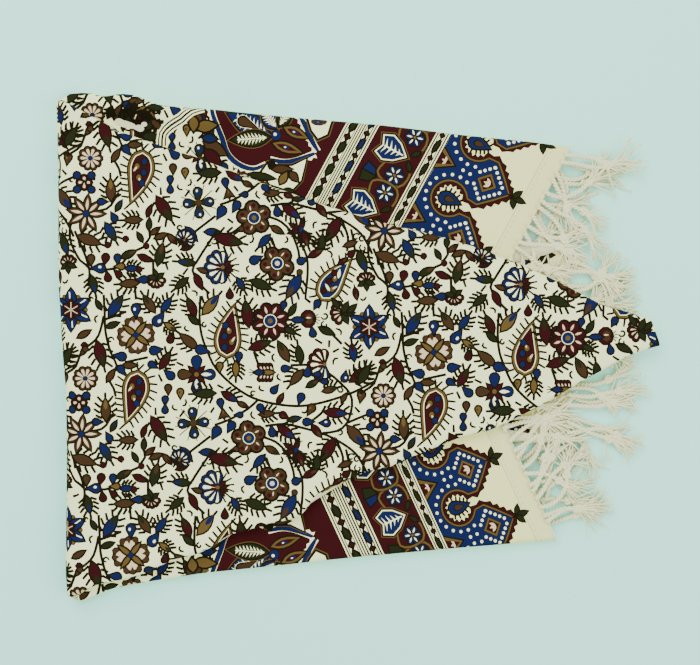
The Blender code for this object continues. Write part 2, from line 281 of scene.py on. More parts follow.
def hem_x(run, share, y):
    """Where a point of the section ends at the hem."""
    if run == "base":
        return base_hem_x(y)
    if run == "edge":
        height = (1 - math.cos(math.pi * share)) / 2
        return base_hem_x(y) + (wing_hem_x(y) - base_hem_x(y)) * height
    if run in ("wing", "inner"):
        return wing_hem_x(y)
    if run == "return":
        off = abs(y - AXIS_Y)
        inside = wing_hem_x(y) - RETURN_SETBACK * smooth(PLEAT_GAP, HEM_STEP, off)
        return inside + (PLEAT_HEM_X - inside) * smooth(PLEAT_DEPTH - HEM_STEP, PLEAT_DEPTH - TURN_RADIUS, off)
    return PLEAT_HEM_X


def along_section(run, share, x, turn):
    """How far round the half section a share of a run lies at x, and the distance from the axis there."""
    upper, lower = edges_at(np.array([float(x)]), turn)
    lengths, _, _, _ = run_lengths(upper, lower)
    number = RUNS.index(run)
    along = lengths[:number, 0].sum() + share * lengths[number, 0]
    q = section(np.array([along]), upper, lower)[0][0]
    return along, (upper[0] + lower[0]) / 2, q


def hem_place(run, share, up):
    """(u, v) of the hem at a share of a run, on the upper (1) or lower (-1) half."""
    x, turn = float(PLEAT_HEM_X), 0.0
    for _ in range(8):
        along, centre, q = along_section(run, share, x, turn)
        y = centre + up * q
        x = float(hem_x(run, share, y))
    return -FOLD_HALF - (x - float(fold_x(y))), up * along


def tip_place(run, share, up):
    """(u, v) of the flap's tip there."""
    x = float(TIP[0])
    for _ in range(8):
        along, centre, q = along_section(run, share, x, 1.0)
        y = centre + up * q
        x = TIP[0] + TIP[2] * (y - TIP[1])
    return FOLD_HALF + (x - float(fold_x(y))), up * along


# The print block's own line width, in chart units, and the hairs along one side of a leaf
LINE = 1.0
HAIRS_A_SIDE = 4

# Inks: name, colour and roughness
Ink = namedtuple("Ink", "name colour roughness")
INKS = [Ink(*row) for row in (
    ("ground", (0.95, 0.94, 0.50), 0.92),
    ("outline", (0.009, 0.007, 0.003), 0.88),
    ("blue", (0.008, 0.013, 0.060), 0.86),
    ("maroon", (0.034, 0.005, 0.006), 0.88),
    ("brown", (0.046, 0.023, 0.010), 0.88),
    ("ochre", (0.105, 0.064, 0.018), 0.88),
    ("green", (0.014, 0.017, 0.006), 0.88),
    ("pink", (0.660, 0.500, 0.300), 0.90),
    ("plain", (0.860, 0.830, 0.350), 0.93),
    ("hem", (0.800, 0.775, 0.350), 0.93),
    ("reverse", (0.740, 0.700, 0.440), 0.93),
    # Darker tan: painted shade along the hems' fold edges, and the stitches' own thread colour
    ("hem_fold_shade_and_stitch", (0.600, 0.570, 0.310), 0.93),
)]
INK = {ink.name: number for number, ink in enumerate(INKS)}
K, B, M, N, O, G, P, C = "outline", "blue", "maroon", "brown", "ochre", "green", "pink", "ground"


def turned(points, degrees, size=1.0, x=0.0, y=0.0):
    a = math.radians(degrees)
    p = np.asarray(points, float) * size
    return np.stack([p[:, 0] * math.cos(a) - p[:, 1] * math.sin(a) + x,
                     p[:, 0] * math.sin(a) + p[:, 1] * math.cos(a) + y], axis=1)


def oval(rx, ry, n=10, x=0.0, y=0.0):
    a = np.arange(n) * 2 * math.pi / n
    return np.stack([x + rx * np.cos(a), y + ry * np.sin(a)], axis=1)


def blade(length, width, n=5, fullness=0.85):
    """A leaf's outline from its stalk at the origin to its point on +x."""
    t = np.linspace(0, 1, n + 1)
    half = width / 2 * np.sin(math.pi * t ** fullness)
    top = np.stack([t * length, half], axis=1)
    low = np.stack([t[1:-1][::-1] * length, -half[1:-1][::-1]], axis=1)
    return np.concatenate([low[::-1], top[::-1]])


def drop(length, width, n=7):
    """A bud: its point at the origin and its round end towards +x."""
    r = width / 2
    a = np.linspace(-1.95, 1.95, n)
    arc = np.stack([length - r + r * np.cos(a), r * np.sin(a)], axis=1)
    return np.concatenate([[[0.0, 0.0]], arc])


def grow(points, by):
    """An outline moved outwards by a distance. Its points run anticlockwise."""
    p = np.asarray(points, float)
    x, y = p[:, 0], p[:, 1]
    if (x * np.roll(y, -1) - np.roll(x, -1) * y).sum() < 0:
        p = p[::-1]
    before, after = p - np.roll(p, 1, axis=0), np.roll(p, -1, axis=0) - p
    before /= np.linalg.norm(before, axis=1)[:, None] + 1e-9
    after /= np.linalg.norm(after, axis=1)[:, None] + 1e-9
    normal = np.stack([before[:, 1] + after[:, 1], -before[:, 0] - after[:, 0]], axis=1)
    length = np.linalg.norm(normal, axis=1)[:, None] + 1e-9
    mitre = 1 / np.maximum(length / 2, 0.6)
    return p + normal / length * mitre * by


def rimmed(points, by):
    """A shape's dark rim: the outline moved out by a distance and by the block's own line width."""
    return grow(points, by + LINE if by > 0 else by)


def curve(points, step=4.0):
    """A smooth line through its points."""
    p = np.asarray(points, float)
    p = np.concatenate([[2 * p[0] - p[1]], p, [2 * p[-1] - p[-2]]])
    made = []
    for a, b, c, d in zip(p, p[1:], p[2:], p[3:]):
        n = max(int(np.linalg.norm(c - b) / step), 1)
        for t in np.arange(n) / n:
            made.append(0.5 * ((2 * b) + (c - a) * t + (2 * a - 5 * b + 4 * c - d) * t * t
                               + (3 * b - a - 3 * c + d) * t ** 3))
    made.append(p[-2])
    return np.array(made)


def stroke(points, width, taper=0.0):
    """A line's outline, with its width narrowing towards both ends by a share."""
    p = np.asarray(points, float)
    way = np.gradient(p, axis=0)
    way /= np.linalg.norm(way, axis=1)[:, None] + 1e-9
    side = np.stack([-way[:, 1], way[:, 0]], axis=1)
    t = np.linspace(0, 1, len(p))
    half = (width / 2 * (1 - taper * np.abs(2 * t - 1) ** 2))[:, None]
    return np.concatenate([p - side * half, (p + side * half)[::-1]])


def hair(x, y, degrees, length, width=2.8):
    tip = width * 0.40
    return turned([(0, -width / 2), (length, -tip), (length, tip), (0, width / 2)], degrees, 1, x, y)


def edged(body, rim, ink):
    """A body in its ink over its dark rim."""
    return [(K, rimmed(body, rim)), (ink, body)]


def fan(angles, shapes, x=0.0, y=0.0):
    """Shapes turned to each of the angles, about a place."""
    return [(ink, turned(points, a, 1, x, y)) for a in angles for ink, points in shapes]


def discs(size, *rows):
    """Round shapes about one middle, from rows of ink, radius as a share of size and number of points."""
    return [(ink, oval(size * share, size * share, count)) for ink, share, count in rows]


def spiral(size):
    a = np.linspace(0, 0.85 * 2 * math.pi, 8)
    r = size * (1 - 0.62 * a / a[-1])
    return np.stack([r * np.cos(a), r * np.sin(a)], axis=1)


def leaf_shapes(size, fill, second, sides=(1, -1)):
    """A pointed leaf with a dark rim and fine hairs on its sides, printed in one or two inks."""
    width = size * 0.38
    body = blade(size, width, 5)
    shapes = []
    for t in np.linspace(0.12, 0.86, HAIRS_A_SIDE if sides else 0):
        half = width / 2 * math.sin(math.pi * t ** 0.85) + 0.7 + LINE
        for way in sides:
            shapes.append((K, hair(t * size, way * half, way * (66 - 30 * t), 4.4 + size * 0.13)))
    if sides:
        shapes.append((K, hair(size + 1.2, 0, 0, 5.0)))
    shapes += edged(body, 0.7, fill)
    if second != fill:
        shapes.append((second, body * 0.5 + [size * 0.49, 0]))
    return shapes


def bud_shapes(size, fill, second):
    shapes = edged(drop(size, size * 0.62), 0.75, fill)
    if second != fill:
        shapes.append((second, oval(size * 0.13, size * 0.10, 6, size * 0.62, size * 0.1)))
    return shapes


def berry_shapes(size, fill, _):
    return edged(drop(size, size * 0.95, 6), 0.3, fill)


def curl_shapes(size, *_):
    return [(K, stroke(spiral(size), 2.2, 0.3))]


def ring_of(count, phase=0.0):
    return [360.0 * k / count + phase for k in range(count)]


def blossom_shapes(size, *_):
    """Four broad lobed petals between four narrow leaves."""
    shapes = []
    for a in ring_of(4):
        shapes += fan((a - 23, a, a + 23), [(K, oval(size * .24, size * .21, 8, size * .74, 0))])
        shapes += fan((a,), [(K, rimmed(drop(size * 0.86, size * 0.74), .8))])
    for a in ring_of(4):
        shapes += fan((a - 23, a, a + 23), [(N, oval(size * .19, size * .16, 7, size * .74, 0))])
        shapes += fan((a,), [(P, drop(size * 0.76, size * 0.56)),
                             (N, drop(size * 0.34, size * 0.22, 5) + [size * .55, 0])])
    shapes += fan(ring_of(4, 45), edged(blade(size * 0.78, size * 0.22, 5), .8, O))
    return shapes + discs(size, (K, .16, 9), (B, .13, 8))


def daisy_shapes(size, *_):
    """Ten narrow petals with brown edges."""
    petal = [(N, drop(size * .96, size * .40, 6)), (P, drop(size * .80, size * .25, 5))]
    return (fan(ring_of(10), [(K, rimmed(drop(size * .98, size * .50, 6), .3))]) + fan(ring_of(10), petal)
            + discs(size, (K, .22, 8), (B, .17, 8)))


def rosette_shapes(size, fill, second):
    """Round petals about a blue ring with a light middle."""
    count, wide = (8, size * 0.62) if fill == M else (5, size * 0.86)
    petal = [(fill, drop(size * .96, wide * .82, 8))]
    if fill == M:
        petal.append((P, blade(size * .42, size * .14, 3) + [size * .42, size * .05]))
    else:
        petal += [(M, drop(size * .30, size * .26, 5) + [size * .55, -size * .1]),
                  (P, blade(size * .30, size * .09, 3) + [size * .44, size * .12])]
    return (fan(ring_of(count, 18), [(K, rimmed(drop(size, wide, 8), .5))]) + fan(ring_of(count, 18), petal)
            + discs(size, (K, .42, 12), (C, .37, 12), (B, .33, 12), (second, .15, 7)))


def star_shapes(size, *_):
    """A six-pointed blue star with a red one in it and dots between its points."""
    dot = [(K, oval(size * .15, size * .14, 7, size * .66, 0)),
           (O, oval(size * .11, size * .10, 6, size * .66, 0))]
    shapes = fan(ring_of(6, 30), dot) + fan(ring_of(6), edged(blade(size, size * .46, 6, 1.1), .5, B))
    for a in ring_of(6):
        shapes += fan((a + 5,), [(C, stroke([(size * .26, 0), (size * .84, 0)], 1.1))])
        shapes += fan((a,), edged(blade(size * .50, size * .26, 4), .4, M))
    return shapes + fan(ring_of(6), [(P, stroke([(0.5, 0), (size * .36, 0)], .8))])


def paisley_outline(length, width, bend, n=15, inset=0.0):
    """A bent drop about its own middle, its tip on +x and bent to one side. inset shrinks it inside itself."""
    t = np.linspace(0, 1, n)
    full = 0.34
    half = np.where(t < full, np.sqrt(np.clip(1 - ((full - t) / full) ** 2, 0, 1)),
                    1 - np.clip((t - full) / (1 - full), 0, 1) ** 1.5) * width / 2
    x = (t - 0.5) * length
    y = bend * (np.clip(t - 0.35, 0, 1) / 0.65) ** 2 * width * 0.24
    top = np.stack([x, y + half], axis=1)
    low = np.stack([x, y - half], axis=1)
    shape = np.concatenate([low, top[1:-1][::-1]])
    middle = np.array([-0.12 * length, 0])
    return middle + (shape - middle) * [1 - 2.6 * inset / length, 1 - 2 * inset / width]


def paisley_shapes(size, fill, _):
    """A paisley with a gold rim, a fringe of fine hairs and small flowers inside."""
    width, bend = size * 0.48, -1
    outer = paisley_outline(size, width, bend, 16)
    shapes = []
    roots = resampled(np.concatenate([outer, outer[:1]]), 6.0)
    for at, (dx, dy) in zip(roots, np.gradient(roots, axis=0)):
        out = math.degrees(math.atan2(-dx, dy))
        root = at + [1.4 * math.cos(math.radians(out)), 1.4 * math.sin(math.radians(out))]
        shapes.append((K, hair(root[0], root[1], out - 14, 7.4, 2.3)))
    shapes += edged(outer, .4, O)
    for ink, count, inset in ((C, 14, 2.3), (K, 14, 3.2), (fill, 12, 4.0)):
        shapes.append((ink, paisley_outline(size, width, bend, count, inset)))
    for k, (x, y) in enumerate(((-.30, .10), (-.20, -.16), (-.10, .12), (.0, -.05), (.10, .10))):
        bud = oval(width * .12, width * .10, 7, x * size, y * width)
        shapes += edged(bud, .2, (M if fill == B else B) if k % 2 == 0 else O)
        if k % 2:
            shapes += fan((30 * (k - 2),), [(P, blade(size * .12, width * .09, 3))], x * size, y * width)
    if fill == B:
        shapes += fan((20,), [(C, blade(size * .20, width * .14, 4))], size * .04, -width * .16)
        shapes += fan((60,), [(C, blade(size * .18, width * .12, 4))], -size * .26, -width * .12)
    return shapes


def lotus_shapes(size, fill, _):
    """A fan of long petals over a few short ones that point back."""
    shapes = []
    if fill == B:
        shapes += [(K, hair(0, 0, a + 2, size * 1.05, 2.1)) for a in range(-152, -31, 24)]
        shapes += fan((-140, -110, -80, -50), edged(blade(size * .62, size * .22, 4), .5, M))
    for k, a in enumerate((2, 178, 30, 150, 58, 122, 90)):
        petal = edged(drop(size * (1.12 if k > 1 else .95), size * .52, 7), .6, B if fill == B or k % 2 else M)
        shapes += fan((a,), petal + [(C, drop(size * .82, size * .26, 5) + [size * .12, 0])])
    shapes += fan((70, 110), [(M, drop(size * .5, size * .24, 5))])
    return fan((-90,), shapes) + discs(size, (O, .13, 7))


def tulip_shapes(size, *_):
    """Long pale petals with brown rims that open from a blue middle."""
    petal = edged(blade(size, size * .32, 6, 1.1), .5, N)
    petal.append((P, blade(size * .66, size * .15, 4) + [size * .16, 0]))
    return fan((0, 42, 84, 126, 168, -60, -104, -150), petal) + discs(size, (K, .2, 9), (B, .16, 8))


def posy_shapes(size, *_):
    """A small pale cross with four blue buds between its arms."""
    bud = [(ink, points + [size * .38, 0]) for ink, points in edged(drop(size * .62, size * .46, 7), .6, B)]
    arm = edged(drop(size * .55, size * .42, 7), .8, M) + [(P, drop(size * .44, size * .22, 5))]
    return fan(ring_of(4, 45), bud) + fan(ring_of(4), arm)


def cross_shapes(size, *_):
    """Four long petals, one of them open, about an ochre middle."""
    stripe = [(C, blade(size * .6, size * .2, 4) + [size * .25, 0])]
    shapes = []
    for a, ink, over in zip(ring_of(4), (B, B, N, B), (stripe, [], [], stripe)):
        shapes += fan((a,), edged(drop(size, size * .50, 8), .6, ink) + over)
    shapes += fan(ring_of(4, 45), edged(blade(size * .62, size * .2, 4), .4, M))
    return shapes + discs(size, (K, .18, 8), (O, .14, 7))


def quad_shapes(size, *_):
    """Four round blue buds on short arms with fine rays between."""
    arm = edged(drop(size * .92, size * .50, 8), .5, G)
    arm += [(B, oval(size * .23, size * .21, 8, size * .66, 0)),
            (C, oval(size * .09, size * .07, 6, size * .74, size * .05))]
    rays = [(K, hair(0, 0, a, size * 1.15, 1.2)) for a in ring_of(12, 12)]
    return rays + fan(ring_of(4, 4), arm) + discs(size, (N, .2, 8))


def half_flower_shapes(size, *_):
    """A fan of striped petals on a leafy foot."""
    petal = edged(drop(size, size * .46, 6), .7, M) + [(P, drop(size * .8, size * .24, 5))]
    foot = edged(blade(size * .95, size * .46, 4), .5, G)
    return fan(range(-62, 63, 31), petal) + fan((115, 180, 245), foot)


def thistle_shapes(size, *_):
    """A round head with rays at its far end."""
    shapes = edged(oval(size * .62, size * .72, 10, size * .5, 0), .7, M)
    shapes.append((N, oval(size * .4, size * .5, 8, size * .58, 0)))
    shapes += [(K, hair(size * .9, 0, a, size * .7, 1.3)) for a in (-40, -14, 14, 40)]
    return shapes + [(P, blade(size * .5, size * .16, 3) + [size * .3, size * .1])]


def comb_flower_shapes(size, *_):
    """A long bloom with rows of striped petals on both sides."""
    petal = edged(drop(size * .62, size * .26, 6), .6, M) + [(P, drop(size * .44, size * .13, 4))]
    shapes = []
    for way in (1, -1):
        for t in (0.05, 0.28, 0.5, 0.72):
            shapes += fan((way * 62,), petal, t * size)
    shapes += edged(blade(size * .9, size * .28, 5), .6, O)
    shapes += edged(blade(size * .62, size * .30, 5) + [size * .72, 0], .6, B)
    return shapes + [(K, hair(size * 1.25, 0, a, size * .45, 1.2)) for a in (-30, 0, 30)]


def spiky_shapes(size, *_):
    """A red star of narrow leaves with a blue bud."""
    shapes = []
    for a in (75, 150, 195, 270, 320):
        arm = edged(blade(size, size * .30, 5), .5, M if a != 320 else G)
        shapes += fan((a,), arm + [(K, hair(size * .5, 0, way * 45, size * .5, 1.2)) for way in (-1, 1)])
    return shapes + discs(size, (K, .26, 8)) + [(B, oval(size * .21, size * .21, 8, size * .1, 0))]


def bell_shapes(size, *_):
    """A cup with a wavy mouth."""
    cup = np.array([(0, 0), (.5, -.22), (1.1, -.62), (.92, -.1), (1.2, 0), (.92, .1), (1.1, .62), (.5, .22)])
    return edged(cup * size, .7, N) + [(O, blade(size * .5, size * .14, 3) + [size * .2, 0])]


# Each kind's function takes a size and two inks. Leaves have hairs on their left side (1), their right (-1),
# both or neither.
LEAF_SIDES = {"hairy": (1, -1), "left": (1,), "right": (-1,), "plain": ()}
MOTIFS = {kind: partial(leaf_shapes, sides=sides) for kind, sides in LEAF_SIDES.items()}
MOTIFS.update(
    bud=bud_shapes, berry=berry_shapes, curl=curl_shapes, blossom=blossom_shapes, daisy=daisy_shapes,
    rosette=rosette_shapes, star=star_shapes, paisley=paisley_shapes, lotus=lotus_shapes, tulip=tulip_shapes,
    posy=posy_shapes, cross=cross_shapes, quad=quad_shapes, half=half_flower_shapes, thistle=thistle_shapes,
    comb=comb_flower_shapes, spiky=spiky_shapes, bell=bell_shapes,
)
STALKED = (*LEAF_SIDES, "bud", "berry")

# The field's repeat, charted in units of 0.7 mm from the chart's corner, x to the right and y down.
# A leaf or bud is placed by its middle, and turn is anticlockwise from +x.
UNIT = 0.7
CHART_X, CHART_Y = 356.5, 348.5
REPEATS = ((295.0, 17.0), (-5.0, 218.0))
Motif = namedtuple("Motif", "kind x y turn size fill second")
FIELD = [Motif(*row) for row in (
    ("blossom", 138, 335, 8, 20, N, O), ("star", 369, 327, 90, 21, B, M), ("daisy", 88, 378, 0, 12, P, B),
    ("paisley", 229, 331, 88, 54, M, M), ("paisley", 137, 397, -97, 54, M, M),
    ("paisley", 334, 279, 60, 50, B, N), ("rosette", 271, 321, 0, 18, M, O),
    ("rosette", 278, 264, 30, 17, N, P), ("rosette", 250, 437, 10, 17, N, O),
    ("lotus", 224, 268, 178, 16, B, M), ("lotus", 325, 364, 182, 15, M, B), ("tulip", 84, 433, 0, 19, N, B),
    ("posy", 82, 402, 0, 13, P, B), ("cross", 198, 374, 0, 18, B, O), ("quad", 195, 422, 0, 16, B, G),
    ("half", 158, 279, -80, 9, M, P), ("half", 366, 282, 95, 9, M, P), ("half", 343, 313, 180, 12, M, P),
    ("thistle", 303, 319, 0, 11, M, N), ("comb", 275, 372, 180, 15, M, O), ("spiky", 296, 449, 0, 13, M, B),
    ("bell", 224, 408, -80, 8, N, O),
    ("hairy", 92, 241, -20, 24, N, N), ("hairy", 131, 284, 184, 19, N, N), ("hairy", 183, 284, -140, 16, G, G),
    ("hairy", 162, 255, 76, 22, G, N), ("hairy", 118, 306, 56, 24, B, G), ("hairy", 151, 304, 124, 20, N, G),
    ("left", 193, 307, 115, 19, M, G), ("left", 190, 341, 140, 22, N, N), ("hairy", 172, 327, -35, 13, O, G),
    ("hairy", 167, 360, 60, 19, M, G), ("hairy", 103, 354, -75, 26, M, G), ("hairy", 69, 357, 60, 20, G, G),
    ("right", 188, 263, 175, 17, G, B), ("plain", 189, 248, 20, 12, M, M), ("hairy", 230, 241, -14, 28, M, G),
    ("hairy", 248, 314, 98, 26, M, G), ("hairy", 237, 369, -90, 15, O, O), ("hairy", 262, 285, -22, 22, G, G),
    ("hairy", 294, 287, 238, 26, B, N), ("hairy", 261, 345, 20, 22, M, G), ("plain", 284, 351, 118, 22, N, G),
    ("left", 300, 354, 100, 18, G, G), ("right", 297, 377, 230, 19, N, N), ("hairy", 353, 352, 98, 17, B, M),
    ("hairy", 360, 374, 36, 24, M, G), ("hairy", 336, 412, -4, 22, M, B), ("left", 356, 435, -50, 26, N, B),
    ("hairy", 328, 449, 240, 26, M, G), ("hairy", 287, 431, -36, 20, M, B), ("hairy", 108, 409, 92, 22, N, O),
    ("hairy", 161, 428, -58, 28, M, G), ("hairy", 130, 439, 182, 17, N, N), ("hairy", 206, 393, 182, 21, G, G),
    ("hairy", 291, 331, -25, 12, G, G), ("hairy", 322, 244, 84, 17, G, G), ("hairy", 306, 240, -70, 14, M, N),
    ("plain", 101, 305, 120, 10, G, G), ("plain", 115, 325, 20, 13, G, G), ("plain", 87, 334, 30, 14, N, N),
    ("plain", 200, 282, -65, 16, M, M), ("plain", 204, 271, 160, 10, N, N), ("plain", 195, 320, 140, 13, G, G),
    ("plain", 293, 310, 60, 13, G, G), ("plain", 327, 331, -25, 16, G, G), ("plain", 316, 254, 28, 15, M, N),
    ("plain", 350, 245, 200, 13, N, N), ("left", 362, 262, -68, 21, G, B), ("plain", 352, 309, 45, 11, G, G),
    ("plain", 336, 304, 125, 11, G, G), ("plain", 132, 365, 0, 14, N, N), ("plain", 113, 375, 58, 14, N, N),
    ("plain", 87, 350, 60, 10, N, M), ("plain", 158, 455, 20, 13, N, N), ("plain", 137, 456, 120, 10, G, G),
    ("plain", 152, 450, 38, 11, N, M), ("plain", 146, 443, 86, 11, G, G), ("plain", 146, 430, 70, 11, M, M),
    ("plain", 281, 398, 60, 11, M, N), ("plain", 273, 449, -30, 14, N, G), ("plain", 317, 430, -52, 15, M, N),
    ("plain", 313, 383, 30, 13, G, N), ("bud", 361, 396, 80, 11, N, O), ("bud", 311, 409, 60, 11, N, O),
    ("plain", 131, 255, 26, 16, G, N), ("plain", 147, 259, -24, 14, M, M), ("plain", 343, 262, 35, 10, M, N),
    ("hairy", 96, 285, -78, 17, G, B), ("plain", 344, 397, 60, 9, N, N), ("left", 330, 389, 15, 14, N, G),
    ("left", 231, 396, -30, 17, M, B), ("plain", 244, 404, -24, 10, N, M), ("hairy", 268, 413, 5, 15, N, N),
    ("bud", 285, 415, 150, 9, M, N), ("plain", 295, 418, 12, 12, G, B), ("plain", 174, 240, -50, 12, N, M),
    ("bud", 144, 280, 0, 10, B, B), ("bud", 138, 311, 90, 13, B, C), ("bud", 204, 350, 165, 13, B, B),
    ("bud", 122, 356, -10, 12, B, B), ("bud", 158, 350, 190, 12, B, B), ("bud", 124, 370, 125, 10, B, B),
    ("bud", 101, 269, 0, 13, B, C), ("hairy", 134, 269, 0, 13, B, B), ("bud", 120, 260, 90, 9, B, B),
    ("hairy", 168, 305, 55, 16, B, B), ("bud", 161, 319, 235, 15, B, C), ("left", 212, 305, 50, 24, O, B),
    ("bud", 240, 357, 90, 9, B, B), ("hairy", 242, 285, -60, 14, B, G), ("bud", 257, 260, 205, 12, B, B),
    ("left", 265, 242, 228, 16, B, B), ("plain", 299, 320, 0, 13, B, B), ("bud", 284, 306, 80, 8, B, B),
    ("bud", 317, 305, 60, 9, B, B), ("bud", 313, 332, -80, 9, B, B), ("bud", 303, 261, 205, 10, B, B),
    ("bud", 287, 368, 190, 9, B, B), ("bud", 308, 371, 260, 10, B, B), ("bud", 345, 376, -100, 10, B, C),
    ("bud", 317, 374, 0, 7, B, B), ("bud", 324, 381, 0, 7, B, B), ("bud", 100, 421, 180, 9, B, B),
    ("plain", 116, 425, 60, 11, G, B), ("bud", 111, 436, -60, 9, B, B), ("hairy", 108, 451, -60, 20, B, G),
    ("bud", 167, 400, 90, 8, B, B), ("bud", 167, 408, -90, 8, B, B), ("bud", 222, 403, 100, 9, B, B),
    ("bud", 232, 426, 60, 11, B, B), ("bud", 217, 432, 60, 13, B, B), ("plain", 209, 451, 0, 15, B, G),
    ("plain", 188, 453, -50, 17, B, B), ("bud", 240, 414, 0, 7, B, B), ("bud", 262, 408, 120, 9, B, B),
    ("bud", 301, 398, 70, 10, B, B), ("bud", 273, 430, -80, 10, B, B), ("bud", 309, 421, 180, 10, B, B),
    ("bud", 325, 422, 0, 10, B, C), ("bud", 155, 365, 150, 9, B, B), ("bud", 171, 374, -40, 11, B, B),
    ("bud", 170, 389, 90, 9, N, N), ("bud", 182, 393, 90, 9, O, N), ("bud", 221, 367, 90, 9, O, N),
    ("bud", 172, 338, -90, 9, M, M), ("bud", 120, 274, -40, 8, M, M), ("bud", 122, 267, 0, 9, O, O),
    ("bud", 110, 277, -80, 9, M, M), ("bud", 108, 260, 80, 10, M, M), ("bud", 94, 261, 90, 10, N, N),
    ("bud", 231, 294, -90, 9, M, M), ("lotus", 186, 241, 60, 9, B, B), ("bud", 352, 254, 220, 8, M, M),
    ("berry", 110, 246, 20, 5, M, M), ("berry", 148, 247, 20, 5, M, M), ("berry", 128, 240, 100, 5, M, M),
    ("berry", 237, 448, 0, 5, N, N), ("berry", 88, 349, 0, 5, N, N), ("berry", 382, 362, 0, 5, M, M),
    ("berry", 141, 270, 40, 5, M, M), ("berry", 300, 273, 40, 5, N, N),
    ("curl", 113, 340, 0, 3.4, K, K), ("curl", 206, 325, 90, 3, K, K), ("curl", 254, 393, 30, 3, K, K),
    ("curl", 273, 283, 40, 4, K, K), ("curl", 325, 316, 200, 4, K, K), ("curl", 325, 325, 100, 4, K, K),
    ("curl", 362, 240, 20, 4, K, K), ("curl", 363, 249, 120, 4, K, K), ("curl", 216, 242, 200, 3.4, K, K),
    ("curl", 341, 389, 150, 3.4, K, K), ("curl", 340, 431, 240, 3.2, K, K), ("curl", 206, 463, 60, 3, K, K),
    ("curl", 317, 245, 250, 3.2, K, K), ("curl", 351, 456, 30, 4, K, K), ("curl", 93, 300, 10, 3, K, K),
    ("curl", 332, 378, 10, 3.2, K, K), ("curl", 70, 400, 10, 3.0, K, K), ("curl", 176, 447, 10, 3.0, K, K),
)]

# The vines' routes on the same chart
VINES = (
    ((73, 230), (74, 243), (83, 261), (92, 269), (91, 287)),
    ((78, 232), (89, 258), (92, 270)),
    ((106, 295), (107, 313), (108, 332), (113, 352), (119, 365), (114, 376)),
    ((106, 316), (103, 330), (98, 340), (84, 352), (79, 366), (65, 376)),
    ((219, 231), (208, 247), (199, 261), (194, 271), (202, 285), (211, 294)),
    ((202, 296), (201, 317), (203, 335), (209, 352), (218, 369), (237, 387), (259, 399), (291, 405),
     (317, 403), (350, 393), (374, 381)),
    ((288, 230), (299, 241), (307, 257), (308, 275), (306, 299), (311, 303)),
    ((351, 230), (354, 244), (355, 253)),
    ((291, 365), (311, 365), (329, 373), (341, 383), (350, 393), (352, 405), (347, 422), (337, 430),
     (323, 432)),
    ((266, 425), (285, 423), (304, 427), (329, 435), (352, 449), (362, 462), (367, 473)),
    ((336, 437), (343, 456), (342, 470)), ((347, 422), (361, 416), (371, 412)),
    ((259, 399), (249, 408), (230, 419), (216, 424)), ((212, 435), (199, 445), (190, 452)),
    ((262, 435), (277, 441), (287, 452), (294, 470), (295, 482)),
    ((68, 418), (71, 435), (68, 448)), ((83, 432), (104, 428), (111, 420), (116, 412)),
    ((272, 238), (277, 252)), ((146, 448), (147, 456), (141, 464)), ((106, 320), (118, 316), (128, 312)),
    ((121, 268), (112, 270), (92, 270)), ((121, 268), (134, 254), (148, 247)),
    ((240, 443), (228, 452), (218, 453)), ((155, 288), (155, 262)), ((110, 378), (116, 388), (118, 396)),
    ((371, 412), (388, 416)), ((127, 362), (150, 357)), ((255, 352), (262, 372)), ((138, 300), (137, 288)),
    ((256, 322), (283, 320), (296, 320)), ((331, 333), (342, 344)), ((311, 421), (322, 412), (326, 405)),
)


def shapes_of(motif):
    """A motif's shapes on the chart, in units with y up."""
    shapes = MOTIFS[motif.kind](motif.size, motif.fill, motif.second)
    middle = motif.size / 2 if motif.kind in STALKED else 0
    return [(ink, turned(points - [middle, 0], motif.turn, 1, motif.x, -motif.y)) for ink, points in shapes]


# The repeat's corner on the chart, and the two rounds of fillers: room to the print, room between them, tries
FILLER_CORNER = (76, 240)
FILLER_ROUNDS = ((6.4, 13.0, 1500), (4.2, 8.5, 2600))


def fillers(taken):
    """Small hooks, seeds and leaves in the gaps that the vines and motifs leave, on the chart with y up."""
    (ax, ay), (bx, by) = REPEATS
    left, top = FILLER_CORNER
    taken = [np.array([x + i * ax + j * bx, y - i * ay - j * by]) for x, y in taken
             for i in (-1, 0, 1) for j in (-1, 0, 1)]
    taken = np.array([p for p in taken if 40 < p[0] < 410 and -500 < p[1] < -190])  # round the repeat's cell
    rng = random.Random(11)
    shapes, placed = [], np.zeros((0, 2))
    for reach, apart, tries in FILLER_ROUNDS:
        for _ in range(tries):
            i, j = rng.random(), rng.random()
            at = np.array([left + i * ax + j * bx, -(top + i * ay + j * by)])
            crowded = len(placed) and np.hypot(*(placed - at).T).min() < apart
            if crowded or np.hypot(*(taken - at).T).min() < reach:
                continue
            placed = np.concatenate([placed] + [[at + [m * ax + n * bx, -m * ay - n * by]]
                                                for m in (-1, 0, 1) for n in (-1, 0, 1)])
            turn, kind = rng.uniform(0, 360), rng.random()
            if reach > 5 and kind < .45:
                made = leaf_shapes(11, rng.choice((B, N, G, M)), rng.choice((N, B, G)), ())
                made = [(ink, p - [5.5, 0]) for ink, p in made] + [(K, hair(-9.5, 0, 0, 4, 1.7))]
            elif reach > 5 and kind < .7:
                made = [(ink, p - [4.5, 0]) for ink, p in bud_shapes(9, rng.choice((B, B, N, M)), B)]
            else:
                size = reach * rng.uniform(.75, 1.0)
                arc = [(-size, -1.6), (-size * .3, 0.9), (size * .4, 1.2), (size, -1.0)]
                made = [(K, stroke(arc, 2.4, .3))] if kind < .5 else [(K, hair(-size, 0, 0, size * 2, 2.6))]
            shapes += [(ink, turned(p, turn, 1, at[0], at[1])) for ink, p in made]
    return shapes


def field_shapes():
    """The whole repeat: the vines under the motifs."""
    shapes = []
    for route in VINES:
        points = curve([(x, -y) for x, y in route], 5.0)
        shapes.append((K, stroke(points, 2.7)))
    for motif in FIELD:
        shapes += shapes_of(motif)
    taken = [p for _, points in shapes for p in np.concatenate([points, [points.mean(axis=0)]])]
    return shapes + fillers(taken)


